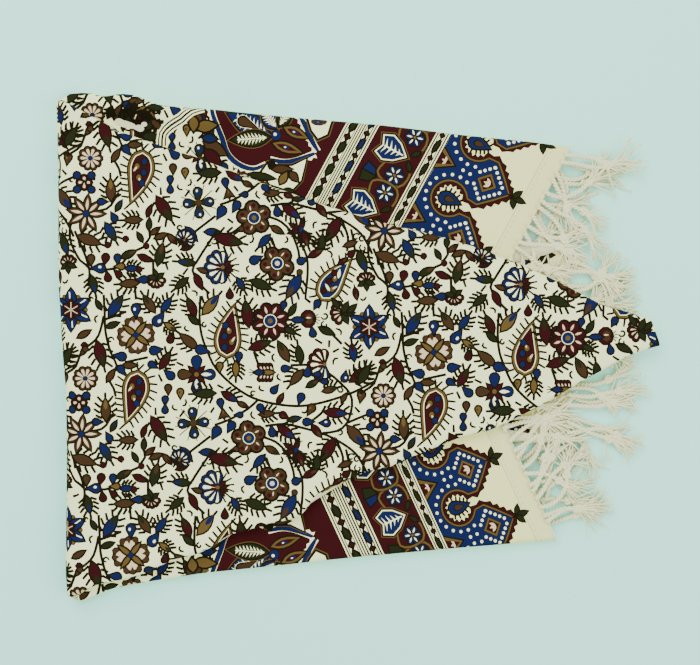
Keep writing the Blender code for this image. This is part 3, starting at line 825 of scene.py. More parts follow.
def repeated(shapes, low, high):
    """The repeat's shapes over a stretch of the flat cloth, from corner low to corner high in millimetres."""
    spans = [(ink, points, points.min(axis=0), points.max(axis=0)) for ink, points in shapes]
    (ax, ay), (bx, by) = REPEATS
    made = []
    for i in range(-4, 5):
        for j in range(-4, 5):
            shift = np.array([i * ax + j * bx, -(i * ay + j * by)])
            for ink, points, least, most in spans:
                a = (least + shift + [-CHART_X, CHART_Y]) * UNIT
                b = (most + shift + [-CHART_X, CHART_Y]) * UNIT
                if b[0] > low[0] and a[0] < high[0] and b[1] > low[1] and a[1] < high[1]:
                    made.append((ink, (points + shift + [-CHART_X, CHART_Y]) * UNIT))
    return made


# The border, charted in the same units: s runs along the hem and d inwards from it
BORDER_REPEAT = 63.0
TIP_D, SHOULDER_D, SHOULDER_S, LOBE_D, LOBE_R = 34.0, 57.5, 22.5, 84.0, 19.5
BEAD = 1.75
BEAD_ROUND = LOBE_R + 4.6
GUARD_D = 112.0
BAND_D = 127.0
BROAD_D = 179.0
ARCH_D = 211.0
GUARD_STRIPES = ((113.1, 114.3), (115.7, 116.8), (122.8, 123.9), (125.3, 126.4))
BROAD_STRIPES = (
    (180.1, 181.3), (182.7, 183.8), (190.8, 191.8), (193.2, 194.3), (195.6, 196.7), (197.9, 198.8),
    (207.0, 208.0), (209.2, 210.4),
)


def pendant():
    """The lambrequin's body over one repeat, from guard to tip and back, without the guard's side."""
    half = BORDER_REPEAT / 2
    arc = [(-half + LOBE_R * math.sin(a), LOBE_D + LOBE_R * math.cos(a))
           for a in np.radians(np.arange(0, 151, 15))]
    side = [(-SHOULDER_S, SHOULDER_D), (-SHOULDER_S * .52, 46), (0, TIP_D)]
    left = arc + side
    return np.array(left + [(-s, d) for s, d in left[-2::-1]])


def moved_out(line, by):
    """An open line moved to its right by a distance, or by each point's own distance."""
    way = np.gradient(line, axis=0)
    way /= np.linalg.norm(way, axis=1)[:, None] + 1e-9
    return line + np.stack([way[:, 1], -way[:, 0]], axis=1) * np.reshape(by, (-1, 1))


def resampled(line, step):
    line = np.asarray(line, float)
    gone = np.concatenate([[0], np.cumsum(np.linalg.norm(np.diff(line, axis=0), axis=1))])
    at = np.linspace(0, gone[-1], int(gone[-1] / step) + 1)
    return np.stack([np.interp(at, gone, line[:, 0]), np.interp(at, gone, line[:, 1])], axis=1)


def bead_places():
    """Where a pendant's white beads lie: round the lobes, on its shoulders and on its middle line."""
    half = BORDER_REPEAT / 2
    places = []
    for way in (-1, 1):
        for a in np.radians(np.arange(10, 111, 20)):
            places.append((way * (BEAD_ROUND * math.sin(a) - half), LOBE_D + BEAD_ROUND * math.cos(a)))
        for t in (0.0, 0.22, 0.44, 0.66, 0.88):
            s = way * (16.5 * t - 17.5)
            places.append((s, 57.5 - 17.5 * t))
            if t < 0.8:
                places.append((s, 58 + 17.0 * t))
    return places + [(0, 77), (0, 85)]


def lambrequin_shapes():
    """A blue pendant with its saw-toothed rim, beads, flowered square and triangle, and leaves at its tip."""
    half = BORDER_REPEAT / 2
    line = pendant()
    lid = np.array([(half, GUARD_D), (-half, GUARD_D)])
    fine = resampled(line, 3.8)
    tooth = np.arange(len(fine)) % 2
    rims = ((K, fine, np.where(tooth, 8.0, 5.2)), (M, fine, np.where(tooth, 6.2, 4.2)), (K, line, 3.1),
            (O, line, 2.3), (K, line, .5), (B, line, -0.4))
    shapes = [(ink, np.concatenate([moved_out(edge, by), lid])) for ink, edge, by in rims]
    shapes += [(C, oval(BEAD, BEAD, 7, s, d)) for s, d in bead_places()]
    square = np.array([(0, -10.5), (10.5, 0), (0, 10.5), (-10.5, 0)])
    shapes += [(ink, square * size + [0, 58]) for ink, size in ((K, 1.08), (O, 1), (K, .72), (M, .64))]
    shapes += fan((50, 90, 130), [(P, blade(7.5, 3.2, 3))], 0, 54)
    triangle = np.array([(-11, GUARD_D), (0, 95), (11, GUARD_D)])
    shapes += edged(triangle, .8, O)
    shapes += [(K, triangle * [.72, 1] + [0, 2.6]), (M, triangle * [.66, 1] + [0, 3.2])]
    shapes += fan((30, 90, 150), [(P, blade(5.0, 2.4, 3))], 0, 104)
    for a, length in ((-28, 11), (-92, 13), (-150, 10)):
        shapes += edged(turned(blade(length, 5.0, 4), a, 1, 0, TIP_D - 6), .4, G)
    shapes.append((K, stroke([(0, TIP_D), (0, TIP_D - 8)], 1.6)))
    return shapes


def lobe_shapes():
    """The eye in the lobe between two pendants, with a short hair at every second point."""
    eye = turned(paisley_outline(23, 12.5, 1, 13), -105, 1, 0, LOBE_D - 1)
    shapes = []
    for k in range(3, len(eye) - 2, 2):
        edge = eye[k + 1] - eye[k]
        shapes.append((K, hair(*eye[k], math.degrees(math.atan2(-edge[0], edge[1])), 5.4, 2.4)))
    heart = eye.mean(axis=0)
    return shapes + edged(eye, .7, B) + [(K, heart + (eye - heart) * .56), (N, heart + (eye - heart) * .44)]


def lines_across(low, high, s0, s1, ink, step=18.0):
    """A band from d = low to high along the hem, in short lengths."""
    edges = np.arange(s0, s1 + step, step)
    return [(ink, np.array([(a, low), (b, low), (b, high), (a, high)])) for a, b in zip(edges, edges[1:])]


def chain_shapes(low, high, s0, s1, leaf, step=26.0):
    """A chain of long leaves and small diamonds on a white ground."""
    mid, wide = (low + high) / 2, high - low
    shapes = lines_across(low, high, s0, s1, C)
    for s in np.arange(s0, s1, step):
        body = turned(blade(step * .60, wide * .84, 4), 6, 1, s - step * .3, mid - .8)
        knob = np.array([(0, -.36), (.46, 0), (0, .36), (-.46, 0)]) * wide + [s + step / 2, mid]
        for part, ink, inset in ((body, leaf, -.5), (knob, M, -.3)):
            shapes += [(K, rimmed(part, .5)), (ink, grow(part, inset))]
    return shapes


def striped(low, high, stripes, s0, s1):
    """A dark band along the hem with white stripes on it."""
    shapes = lines_across(low, high, s0, s1, K)
    for near, far in stripes:
        shapes += lines_across(near, far, s0, s1, C)
    return shapes


def guard_shapes(s0, s1):
    """The narrow guard between the pendants and the band, and the broad one beyond the band."""
    shapes = striped(GUARD_D, BAND_D, GUARD_STRIPES, s0, s1) + chain_shapes(117.6, 122.2, s0, s1, G)
    shapes += striped(BROAD_D, ARCH_D, BROAD_STRIPES, s0, s1)
    shapes += chain_shapes(184.8, 189.8, s0 + 13, s1, B, 25.0)
    return shapes + chain_shapes(199.6, 206.2, s0, s1, G, 25.0)


SCALLOP = ((8, 131), (20, 129.5), (30, 134), (31.5, 150), (26, 160), (15, 158))


def band_shapes():
    """One repeat of the maroon band's print: a blue heart between daisies, under gold scallops."""
    heart = np.array([(0, 142), (9, 152), (13, 162), (9, 171), (0, 167), (-9, 171), (-13, 162), (-9, 152)])
    shapes = [(O, grow(heart, 3.4)), (K, rimmed(heart, 1.6)), (C, grow(heart, 1.0)), (K, rimmed(heart, -.3)),
              (B, grow(heart, -.8))]
    for d, wide in ((149, 4), (154, 6), (159, 8), (164, 8)):
        for way in (-1, 1):
            shapes.append((C, np.array([(0, d - 1.3), (way * wide, d + 2.6), (0, d + 1.0)])))
    shapes.append((C, stroke([(0, 145), (0, 166)], 1.4)))
    for way in (-1, 1):
        place = (way * 21.5, 143.0)
        for a in ring_of(6, 15):
            shapes += edged(turned(drop(9.5, 6.4, 6), a, 1, *place), .4, B)
            shapes += fan((a,), [(C, blade(6.0, 1.9, 3) + [2.4, 0])], *place)
        shapes.append((O, oval(1.7, 1.7, 6, *place)))
        scallop = curve([(way * s, d) for s, d in SCALLOP], 4)
        shapes += [(K, stroke(scallop, 3.4)), (O, stroke(scallop, 2.2))]
        patch = np.array([(way * 25, 163), (way * 31.5, 160), (way * 31.5, 174), (way * 22, 172)])
        shapes += edged(patch, .7, B if way > 0 else G)
        shapes += edged(turned(blade(10, 4.4, 4), 90 + way * 50, 1, way * 11, 131), .5, G)
    return shapes


# The arch between broad guard and field, charted on the upper wing in the field's units
ARCH_GROUND = (
    (211, 110), (217, 123), (223, 138), (229, 153), (243, 165), (260, 168), (267, 160), (276, 162), (292, 162),
    (311, 154), (307, 165), (304, 181), (295, 193), (322, 204), (376, 122), (376, 90), (205, 90),
)
Frond = namedtuple("Frond", "x0 y0 x1 y1 width fill rays heart")
FRONDS = [Frond(*row) for row in (
    (270, 134, 228, 114, 21, B, 8, 1), (270, 137, 231, 140, 15, G, 8, 0), (277, 128, 262, 110, 14, B, 6, 0),
    (279, 126, 290, 108, 12, G, 5, 0),
)]
ARCH_LEAVES = ((284, 127, 25, 26), (273, 143, 18, 30))
ARCH_STEMS = (
    ((210, 100), (214, 117), (222, 138), (227, 153), (238, 164), (253, 169), (266, 164)),
    ((270, 159), (284, 162), (297, 160), (315, 153)),
    ((298, 112), (306, 127), (311, 139), (318, 151)),
)
CRESCENT = ((308, 117), (332, 118), (327, 134), (318, 138), (312, 130))
SPANDREL = ((262, 172), (268, 163), (276, 166), (292, 166), (306, 159), (301, 180), (291, 191), (270, 184))
PALMETTE = (
    (248, 174, 10, 28, 6, G), (272, 169, 0, 20, 7, N), (290, 172, 50, 12, 7, N), (280, 184, -60, 14, 7, O),
    (284, 190, 10, 10, 4, G), (270, 168, -70, 8, 5, K),
)
EDGE_SPRAY = (
    (190, 112, 55, 22, 14, N), (196, 128, -5, 22, 10, O), (204, 142, 30, 26, 12, N), (205, 150, 45, 22, 11, M),
    (203, 138, 5, 14, 7, B), (195, 118, 95, 14, 9, O),
)
# Leaves in the gathered corner, each from its stalk's place, turn, length, width and ink: print leaves, set
# dense and dark as painted shade for the pocket's shadow
CORNER_PRINT_AND_SHADE_SPRAY = (
    (118, 118, -20, 17, 9, K), (122, 113, 60, 15, 8, G), (128, 124, 8, 19, 9, K), (121, 127, -50, 14, 7, G),
    (136, 130, 28, 17, 8, K), (143, 136, 4, 15, 8, G), (113, 108, 118, 11, 6, K), (131, 117, -68, 13, 6, K),
    (146, 129, -42, 13, 6, G), (139, 113, 20, 15, 6, K), (150, 108, 8, 14, 6, G), (152, 121, 40, 12, 6, N),
)
CORNER_BEND = ((204, 108), (192, 112), (182, 120), (171, 126), (163, 134), (162, 146))


def sprays(rows, rim):
    """Leaves on the chart, each from its stalk's place, turn, length, width and ink."""
    shapes = []
    for x, y, turn, length, wide, ink in rows:
        shapes += edged(turned(blade(length, wide, 5), turn, 1, x, y), rim, ink)
    return shapes


def frond_shapes(frond):
    """A feathered leaf with white rays and a heart or a white rib."""
    turn = math.degrees(math.atan2(frond.y1 - frond.y0, frond.x1 - frond.x0))
    length = math.hypot(frond.x1 - frond.x0, frond.y1 - frond.y0)
    body = blade(length, frond.width, 7)
    shapes = [(O, grow(body, 2.6))] + edged(body, .8, frond.fill)
    for n in range(frond.rays):
        t = .12 + .72 * n / frond.rays
        half = frond.width * .5 * math.sin(math.pi * t ** .85) * .82
        for way in (-1, 1):
            shapes.append((C, np.array([(t * length, way * half * .2), (t * length + 2.4, way * half * .25),
                                        (t * length + 3.4, way * half)])))
    if frond.heart:
        core = drop(length * .44, frond.width * .42, 7) + [length * .30, 0]
        shapes += [(C, grow(core, 2.0))] + edged(core, .6, N)
    else:
        shapes.append((C, stroke([(length * .1, 0), (length * .84, 0)], 1.3)))
    return fan((turn,), shapes, frond.x0, frond.y0)


def arch_shapes():
    """The wing's arch: maroon ground, feathered leaves, blue stems and a cream spandrel with a palmette."""
    shapes = edged(np.array(ARCH_GROUND, float), 1.4, M)
    for stem in ARCH_STEMS:
        line = curve(stem, 4.5)
        fine = resampled(line, 3.0)
        teeth = np.where(np.arange(len(fine)) % 2, 5.4, 3.4)
        shapes.append((C, np.concatenate([moved_out(fine, -teeth), moved_out(fine, 3.0)[::-1]])))
        shapes += [(K, stroke(line, 5.6, .5)), (B, stroke(line, 4.2, .6))]
    for frond in FRONDS:
        shapes += frond_shapes(frond)
    shapes += [(K, oval(5.6, 5.6, 10, 276, 135)), (B, oval(4.9, 4.9, 10, 276, 135)),
               (C, oval(1.7, 1.7, 6, 275, 134))]
    for x, y, turn, length in ARCH_LEAVES:
        body = blade(length, 9.5, 5)
        made = [(K, rimmed(body, 1.0)), (O, grow(body, .3)), (M, grow(body, -2.0)),
                (B, oval(3.6, 1.9, 7, length * .45, 0)), (C, oval(1.3, .8, 5, length * .42, 0))]
        shapes += fan((turn,), made, x, y)
    crescent, spandrel = np.array(CRESCENT, float), np.array(SPANDREL, float)
    shapes += [(O, grow(crescent, 3.2))] + edged(crescent, 1.2, C)
    shapes += [(K, oval(8.6, 4.6, 9, 319, 121)), (N, oval(8, 4, 9, 319, 121)), (B, oval(4, 2, 7, 318, 122)),
               (O, oval(1.6, 1, 5, 318, 122))]
    shapes += [(O, grow(spandrel, 2.6))] + edged(spandrel, 1.0, C)
    shapes += sprays(PALMETTE, .7) + sprays(EDGE_SPRAY, .9)
    return [(ink, np.asarray(p) * [1, -1]) for ink, p in shapes]


def corner_print_and_shade():
    """The gathered corner's dark sprays, crowded and dark as painted shade for the shadow in its pocket, and
    the printed double line that bends round it.
    """
    shapes = []
    for row in CORNER_PRINT_AND_SHADE_SPRAY:
        x, y, turn, length, wide, _ = row
        hairs = [(K, hair(t * length, way * wide * .4, way * 55, 5.0)) for t in (.3, .65) for way in (-1, 1)]
        shapes += sprays([row], .5) + fan((turn,), hairs, x, y)
    bend = curve(CORNER_BEND, 5.0)
    shapes += [(ink, stroke(bend, width)) for ink, width in ((C, 11.5), (K, 8.2), (C, 5.4), (K, 2.0))]
    return [(ink, np.asarray(p) * [1, -1]) for ink, p in shapes]


def to_field(points):
    """Plan points on the flap as points of the unrolled sheet."""
    x, y = points[:, 0], points[:, 1]
    centre = (outline("flap_upper", x) + outline("flap_lower", x)) / 2
    return np.stack([x - fold_x(y) + FOLD_HALF, y - centre], axis=1)


def to_lower(points, panel, up):
    """Plan points on the wing or the middle panel, below the flap, as points of the unrolled sheet."""
    x, y = points[:, 0], points[:, 1]
    upper, lower = edges_at(x, 0)
    lengths, q_edge, _, q_out = run_lengths(upper, lower)
    axis = 2 * q_edge + math.pi * EDGE_RADIUS if panel == "wing" else lengths[:6].sum(axis=0) + q_out
    along = axis - up * (y - (upper + lower) / 2)
    return np.stack([-FOLD_HALF - (x - fold_x(y)), up * along], axis=1)


# A hem's frame: a point of it, its direction, the way inwards, the border's scale and shift in d, where the
# first pendant lies along it, how far on the band's heart lies, and how much wider the broad guard is
Hem = namedtuple("Hem", "x y along_x along_y in_x in_y scale_d shift_d first hearts broad")


def hem_frame(corner, way):
    """A wing hem's point, direction and way inwards, from its corner and slant."""
    size = math.hypot(corner[2], 1)
    slant = abs(corner[2])
    return (corner[0], corner[1], -slant / size, -way / size, -1 / size, way * slant / size)


UPPER_FRAME = Hem(*hem_frame(UPPER_HEM, 1), 1.0, 0.0, 72.0, 15.5, 1.0)
LOWER_FRAME = Hem(*hem_frame(LOWER_HEM, -1), 0.90, 1.0, 30.0, -15.5, 1.25)
MIDDLE_FRAME = Hem(PLEAT_HEM_X, (CHART_Y - 255) * UNIT, 0.0, -1.0, -1.0, 0.0, 1.0, 0.0, 0.0, 15.5, 1.0)


def on_hem(points, hem):
    """Charted border points as plan points in millimetres."""
    d = points[:, 1] + (hem.broad - 1) * np.clip(points[:, 1] - BROAD_D, 0, 60)
    s, d = points[:, 0] * UNIT, (d * hem.scale_d + hem.shift_d) * UNIT
    return np.stack([hem.x + hem.along_x * s + hem.in_x * d, hem.y + hem.along_y * s + hem.in_y * d], axis=1)


def repeats_along(shapes, phase, s0, s1):
    """Shapes at every repeat of the border from s0 to s1."""
    made = []
    for k in range(math.floor((s0 - phase) / BORDER_REPEAT), math.ceil((s1 - phase) / BORDER_REPEAT) + 1):
        made += [(ink, points + [phase + k * BORDER_REPEAT, 0]) for ink, points in shapes]
    return made


def border_shapes(hem, s0, s1):
    """The whole border along a hem, as plan points in millimetres."""
    shapes = lines_across(0, 20, s0, s1, "hem") + lines_across(20, GUARD_D, s0, s1, "plain")
    # Darker lines along the hem's two fold edges are painted shade; the short dashes are its stitches
    shapes += lines_across(19.3, 20.4, s0, s1, "hem_fold_shade_and_stitch", 24.0) + lines_across(.0, 1.0, s0, s1, "hem_fold_shade_and_stitch", 24.0)
    for s in np.arange(s0, s1, 6.0):
        shapes.append(("hem_fold_shade_and_stitch", np.array([(s, 15.8), (s + 2.2, 15.8), (s + 2.2, 16.9), (s, 16.9)])))
    shapes += repeats_along(lobe_shapes(), hem.first + BORDER_REPEAT / 2, s0, s1)
    shapes += repeats_along(lambrequin_shapes(), hem.first, s0, s1)
    shapes += lines_across(BAND_D, BROAD_D, s0, s1, M)
    shapes += repeats_along(band_shapes(), hem.first + hem.hearts, s0, s1)
    shapes += guard_shapes(s0, s1)
    return [(ink, on_hem(points, hem)) for ink, points in shapes]


def from_chart(shapes, mirror=None):
    """Charted shapes as plan points in millimetres, mirrored up to down about a line if one is given."""
    made = []
    for ink, points in shapes:
        p = np.asarray(points, float)
        if mirror is not None:
            p = np.stack([p[:, 0] - 2, -mirror - p[:, 1]], axis=1)[::-1]
        made.append((ink, (p + [-CHART_X, CHART_Y]) * UNIT))
    return made


# The sheet, unrolled: u across the fold from hem to tip, v round the section. SHARES says into how many parts
# each run is cut at the hem and the tip, and columns are the lines that are kept along the layers' turns.
SHARES = {"base": 34, "edge": 9, "wing": 28, "inner": 4, "return": 9, "pleat": 4, "middle": 11}
COLUMNS = [(run, share / 4) for run in ("edge", "inner", "pleat") for share in range(5)]
BACK_COLUMNS = [("edge", share / 4) for share in range(5)] + [(run, share / 2) for run in ("inner", "pleat")
                                                              for share in range(3)]
FOLD_US = np.linspace(-FOLD_HALF, FOLD_HALF, 19)
FINE = 8.8
ROUGH = 0.45
V_REACH = 520
SEAM_ROOM = 0.5
BACK_SIDE = -3.0
WELD = 6e-5


def bent(x, y, by=FINE):
    """How far the sheet's lift bends over a step, in mm."""
    here = 2 * lift_share(x, y)
    along = lift_share(x + by, y) + lift_share(x - by, y) - here
    across = lift_share(x, y + by) + lift_share(x, y - by) - here
    return np.maximum(np.abs(along), np.abs(across)) * STACK


def column(run, share, up, us):
    """v along a share of a run, at each u."""
    turn, reach = turn_and_reach(us)
    y = 0 * us
    number = RUNS.index(run)
    for _ in range(6):
        x = fold_x(y) + reach
        upper, lower = edges_at(x, turn)
        lengths = run_lengths(upper, lower)[0]
        along = lengths[:number].sum(axis=0) + share * lengths[number]
        y = (upper + lower) / 2 + up * section(along, upper, lower)[0]
    return up * along


def hem_and_tip():
    """The sheet's two open ends, from the seam below the axis to the seam above it."""
    steps = [(run, share / count) for run, count in SHARES.items() for share in range(count)]
    steps.append(("middle", 1.0))
    places = [(run, share, -1) for run, share in steps[::-1]] + [(run, share, 1) for run, share in steps[1:]]
    return tuple(np.array([end(*place) for place in places]) for end in (hem_place, tip_place))


PANEL = {"field": 0, "wing": 1, "middle": 2, "hidden": 3}


def panel_of(u, v):
    at = laid(u, v)
    run, share = at.run, at.share
    panel = np.full(len(run), PANEL["hidden"])
    panel[(run == 0) | ((run == 1) & (share < 0.5))] = PANEL["field"]
    panel[((run == 1) & (share >= 0.5)) | (run == 2) | ((run == 3) & (share < 0.5))] = PANEL["wing"]
    panel[(run == 6) | ((run == 5) & (share > 0.5))] = PANEL["middle"]
    return panel


# How far beyond the edges that hide it a shape still counts as seen, and where the panels end along X
FLAP_ROOM, UNDER_FLAP, UNDER_ROOM = 13, 5, 9
FLAP_FROM, FLAP_TO = -226, 216
WING_FROM, WING_TO = -205, 170
MIDDLE_FROM = 100


def seen(points, panel, up=1):
    """True if any of a shape's plan points can be seen from above, or lies a little outside."""
    x, y = points[:, 0], points[:, 1]
    if panel == "field":
        near = (y < outline("flap_upper", x) + FLAP_ROOM) & (y > outline("flap_lower", x) - FLAP_ROOM)
        return bool((near & (x > FLAP_FROM) & (x < FLAP_TO)).any())
    half = "upper" if up > 0 else "lower"
    flap = up * outline("flap_" + half, x) - UNDER_FLAP
    edge = up * outline("under_" + half, x) + UNDER_ROOM
    clear = (up * y > flap) & (up * y < edge) & (x > WING_FROM)
    return bool((clear & (x > MIDDLE_FROM if panel == "middle" else x < WING_TO)).any())


def cut_at(points, room):
    """The part of a shape where room, which has a number for each of its points, is not below 0."""
    if (room >= 0).all():
        return points
    kept = []
    for k in range(len(points)):
        a, b, ra, rb = points[k - 1], points[k], room[k - 1], room[k]
        if (ra >= 0) != (rb >= 0):
            kept.append(a + (b - a) * ra / (ra - rb))
        if rb >= 0:
            kept.append(b)
    return np.array(kept).reshape(-1, 2)


def tidied(points):
    """A shape's outline run anticlockwise, without repeated points, or None if hardly anything is left."""
    if len(points) < 3:
        return None
    points = points[np.linalg.norm(points - np.roll(points, 1, axis=0), axis=1) > .04]
    if len(points) < 3:
        return None
    x, y = points[:, 0], points[:, 1]
    area = (x * np.roll(y, -1) - np.roll(x, -1) * y).sum() / 2
    if abs(area) < .12:
        return None
    return points if area > 0 else points[::-1]


def held_in(points, panel, limits):
    """The part of a shape that lies on its own panel or just beyond its edges."""
    us, tables = limits
    up = 1 if points[:, 1].mean() >= 0 else -1
    near, far, slack = {"field": (None, "edge", .6), "wing": ("edge", "inner", .6),
                        "middle": ("pleat", "middle", -4)}[panel]
    for side in (up,) if near else (up, -up):
        if len(points):
            limit = np.interp(points[:, 0], us, side * tables[far, side])
            points = cut_at(points, limit + slack - side * points[:, 1])
    if near and len(points):
        limit = np.interp(points[:, 0], us, up * tables[near, up])
        points = cut_at(points, up * points[:, 1] - limit + .6)
    points = tidied(points)
    if points is None:
        return None
    depth = -np.abs(points[:, 1]) if panel == "field" else -np.abs(points[:, 1] - points[:, 1].mean())
    return np.roll(points, -int(np.argmax(depth)), axis=0)


# Where the field's print is needed, from corner to corner in plan: on the flap, and on the wings' left ends.
# There it lies WING_SHIFT further out, and the lower wing's arch is the upper one's, mirrored on the chart.
FLAP_BOX = ((-230, -190), (216, 190))
WING_BOXES = {1: ((-215, 60), (-40, 190)), -1: ((-215, -190), (-40, -60))}
WING_SHIFT = 31.0
WING_FIELD_TO = -60
ARCH_MIRROR = 690

# How far along its hem each border runs, in chart units, and the Y that parts the middle panel's halves
WING_SPAN, MIDDLE_SPAN = (-40, 260), (-60, 330)
MIDDLE_SPLIT = 4

# Where the panels' limits are worked out, in u
LIMIT_US = np.linspace(-420, 460, 400)


def printed_shapes():
    """(panel, ink, outline in the unrolled sheet) for everything printed, in the order of printing. Among them
    are painted shade: the gathered corner's dark sprays and the hems' darker fold lines.
    """
    field = field_shapes()
    limits = LIMIT_US, {(run, up): column(run, 1.0 if run == "middle" else 0.5, up, LIMIT_US)
                        for run in ("edge", "inner", "pleat", "middle") for up in (-1, 1)}
    made = []
    for ink, points in repeated(field, *FLAP_BOX):
        if seen(points, "field"):
            made.append(("field", ink, to_field(points)))
    for up, hem in ((1, UPPER_FRAME), (-1, LOWER_FRAME)):
        wing = repeated(field, *WING_BOXES[up])
        wing = [(ink, points + [0, WING_SHIFT * up]) for ink, points in wing
                if points[:, 0].max() < WING_FIELD_TO]
        wing += from_chart(arch_shapes(), None if up > 0 else ARCH_MIRROR)
        # The upper wing's gathered corner: dark sprays as painted shade in its pocket, and the printed double
        # line
        wing += from_chart(corner_print_and_shade()) if up > 0 else []
        wing += border_shapes(hem, *WING_SPAN)
        for ink, points in wing:
            if seen(points, "wing", up):
                made.append(("wing", ink, to_lower(points, "wing", up)))
        for ink, points in border_shapes(MIDDLE_FRAME, *MIDDLE_SPAN):
            on_half = (up * (points[:, 1] - MIDDLE_SPLIT) > 2).all()
            if on_half and seen(points, "middle", up):
                made.append(("middle", ink, to_lower(points, "middle", up)))
    held = [(panel, ink, held_in(points, panel, limits)) for panel, ink, points in made]
    return [row for row in held if row[2] is not None]


def end_u(end, v):
    """u of the sheet's hem or tip at v."""
    return np.interp(v, end[:, 1], end[:, 0])


def half_round(u):
    """v of the seam on the upper half at one u, a little short of it."""
    return column("middle", 1.0, 1, np.array([u]))[0] - SEAM_ROOM


def sheet_loop(hem, tip):
    """The sheet's outline, and its seam on the lower (-1) and upper (1) half."""
    us = np.concatenate([np.linspace(hem[0][0], -FOLD_HALF - 4, 30), FOLD_US,
                         np.linspace(FOLD_HALF + 4, tip[0][0], 34)])
    seam = {up: np.stack([us, column("middle", 1.0, up, us)], axis=1) for up in (-1, 1)}
    loop = np.concatenate([seam[-1][:-1], tip[:-1], seam[1][::-1][:-1], hem[::-1][:-1]])
    loop[0], loop[len(us) - 1] = hem[0], tip[0]
    return loop, seam


def add_line(verts, edges, points):
    """Adds a line's points, and the edges between them."""
    first = len(verts)
    verts.extend(map(tuple, points))
    edges.extend((first + k, first + k + 1) for k in range(len(points) - 1))


def add_fold_lines(verts, edges, columns, inset, count, fold_us, fold_count):
    """Adds the lines that keep the folds round: along the layers' turns, and across the left fold."""
    for run, share in columns:
        for up in (-1, 1):
            start, end = hem_place(run, share, up), tip_place(run, share, up)
            us = np.linspace(start[0] + inset, end[0] - inset, count)
            points = np.stack([us, column(run, share, up, us)], axis=1)
            if not inset:
                points[0], points[-1] = start, end
            add_line(verts, edges, points)
    for u in fold_us:
        top = half_round(u)
        add_line(verts, edges, [(u, v) for v in np.linspace(-top, top, fold_count)])


def grids(hem, tip):
    """Grid points for the printed face and, fewer, for the reverse: closer where the sheet shows or bends."""
    us, vs = np.arange(hem[:, 0].min(), tip[:, 0].max(), FINE), np.arange(-V_REACH, V_REACH, FINE)
    i, j = (at.ravel() for at in np.meshgrid(np.arange(len(us)), np.arange(len(vs)), indexing="ij"))
    u, v = us[i] + (j % 2) * FINE / 2, vs[j]
    inside = (u > end_u(hem, v) + 2) & (u < end_u(tip, v) - 2) & (np.abs(u) > FOLD_HALF + 2)
    inside &= np.abs(v) < column("middle", 1.0, 1, u) - 3
    at = laid(u, v)
    shows = ((at.run == 0) & (u > 0)) | ((at.run == 2) & (u < 0)) | ((at.run == 6) & (u < -FOLD_HALF - 200))
    rough = bent(at.x, at.y) > ROUGH
    even = ((i + j // 2) % 2 == 0) & (j % 2 == 0)
    third = (i % 3 == 0) & (j % 3 == 0)
    points = np.stack([u, v], axis=1)
    return points[inside & (shows | even | rough)], points[inside & (third | rough)]


def cut_up(verts, edges, faces):
    """The points, the triangles in the first face, the faces that each lies in, and each point's old ones."""
    made = delaunay_2d_cdt([Vector(p) for p in verts], edges, faces, 0, 0.02, True)
    within = [k for k, owners in enumerate(made[5]) if 0 in owners]
    return (np.array([tuple(p) for p in made[0]]), np.array([made[2][k] for k in within]),
            [made[5][k] for k in within], made[3])


def dyed(middles, owners, shapes):
    """Each triangle's ink: that of the last shape printed over it on its own panel."""
    panels = panel_of(middles[:, 0], middles[:, 1])
    boxes = [(points.min(axis=0) - .01, points.max(axis=0) + .01) for _, _, points in shapes]
    dyes = np.full(len(middles), INK[C])
    for n, (at, faces) in enumerate(zip(middles, owners)):
        for face in sorted(set(faces) - {0}, reverse=True):
            panel, ink, _ = shapes[face - 1]
            low, high = boxes[face - 1]
            if PANEL[panel] == panels[n] and (at > low).all() and (at < high).all():
                dyes[n] = INK[ink]
                break
    return dyes


def printed_face(hem, tip, loop, grid):
    """The printed side's flat points, its triangles and their inks."""
    verts, edges, faces = list(map(tuple, loop)), [], [list(range(len(loop)))]
    add_fold_lines(verts, edges, COLUMNS, 0, 60, FOLD_US, 80)
    verts += list(map(tuple, grid))
    shapes = printed_shapes()
    for _, _, points in shapes:
        faces.append(list(range(len(verts), len(verts) + len(points))))
        verts.extend(map(tuple, points))
    flat, triangles, owners, _ = cut_up(verts, edges, faces)
    middles = flat[triangles].mean(axis=1)
    on_cloth = (middles[:, 0] > end_u(hem, middles[:, 1])) & (middles[:, 0] < end_u(tip, middles[:, 1]))
    owners = [faces for faces, on in zip(owners, on_cloth) if on]
    return flat, triangles[on_cloth], dyed(middles[on_cloth], owners, shapes)


def rim_of(triangles):
    """The points round a set of triangles, in order from point 0."""
    sides = [(int(t[k]), int(t[(k + 1) % 3])) for t in triangles for k in range(3)]
    directed = set(sides)
    following = {a: b for a, b in sides if (b, a) not in directed}
    rim = [0]
    while following[rim[-1]] != rim[0]:
        rim.append(following[rim[-1]])
    return rim


def reverse_face(flat, rim, grid):
    """The reverse side's flat points, its triangles, and its point for each point of the shared rim."""
    verts, edges = [tuple(flat[k]) for k in rim], []
    add_fold_lines(verts, edges, BACK_COLUMNS, .3, 34, FOLD_US[::3], 44)
    verts += list(map(tuple, grid))
    back, triangles, _, sources = cut_up(verts, edges, [list(range(len(rim)))])
    back_of = {rim[old]: new for new, olds in enumerate(sources) for old in olds if old < len(rim)}
    return back, triangles, back_of


def added(name, points, faces, materials, inks=None):
    """A smooth mesh object of that name in the scene."""
    mesh = bpy.data.meshes.new(name)
    mesh.from_pydata(points, [], faces)
    for material in materials:
        mesh.materials.append(material)
    if inks is not None:
        mesh.polygons.foreach_set("material_index", inks)
    mesh.polygons.foreach_set("use_smooth", [True] * len(faces))
    return in_scene(name, mesh)


def in_scene(name, data):
    """A new object with this data, in the scene."""
    obj = bpy.data.objects.new(name, data)
    bpy.context.scene.collection.objects.link(obj)
    return obj


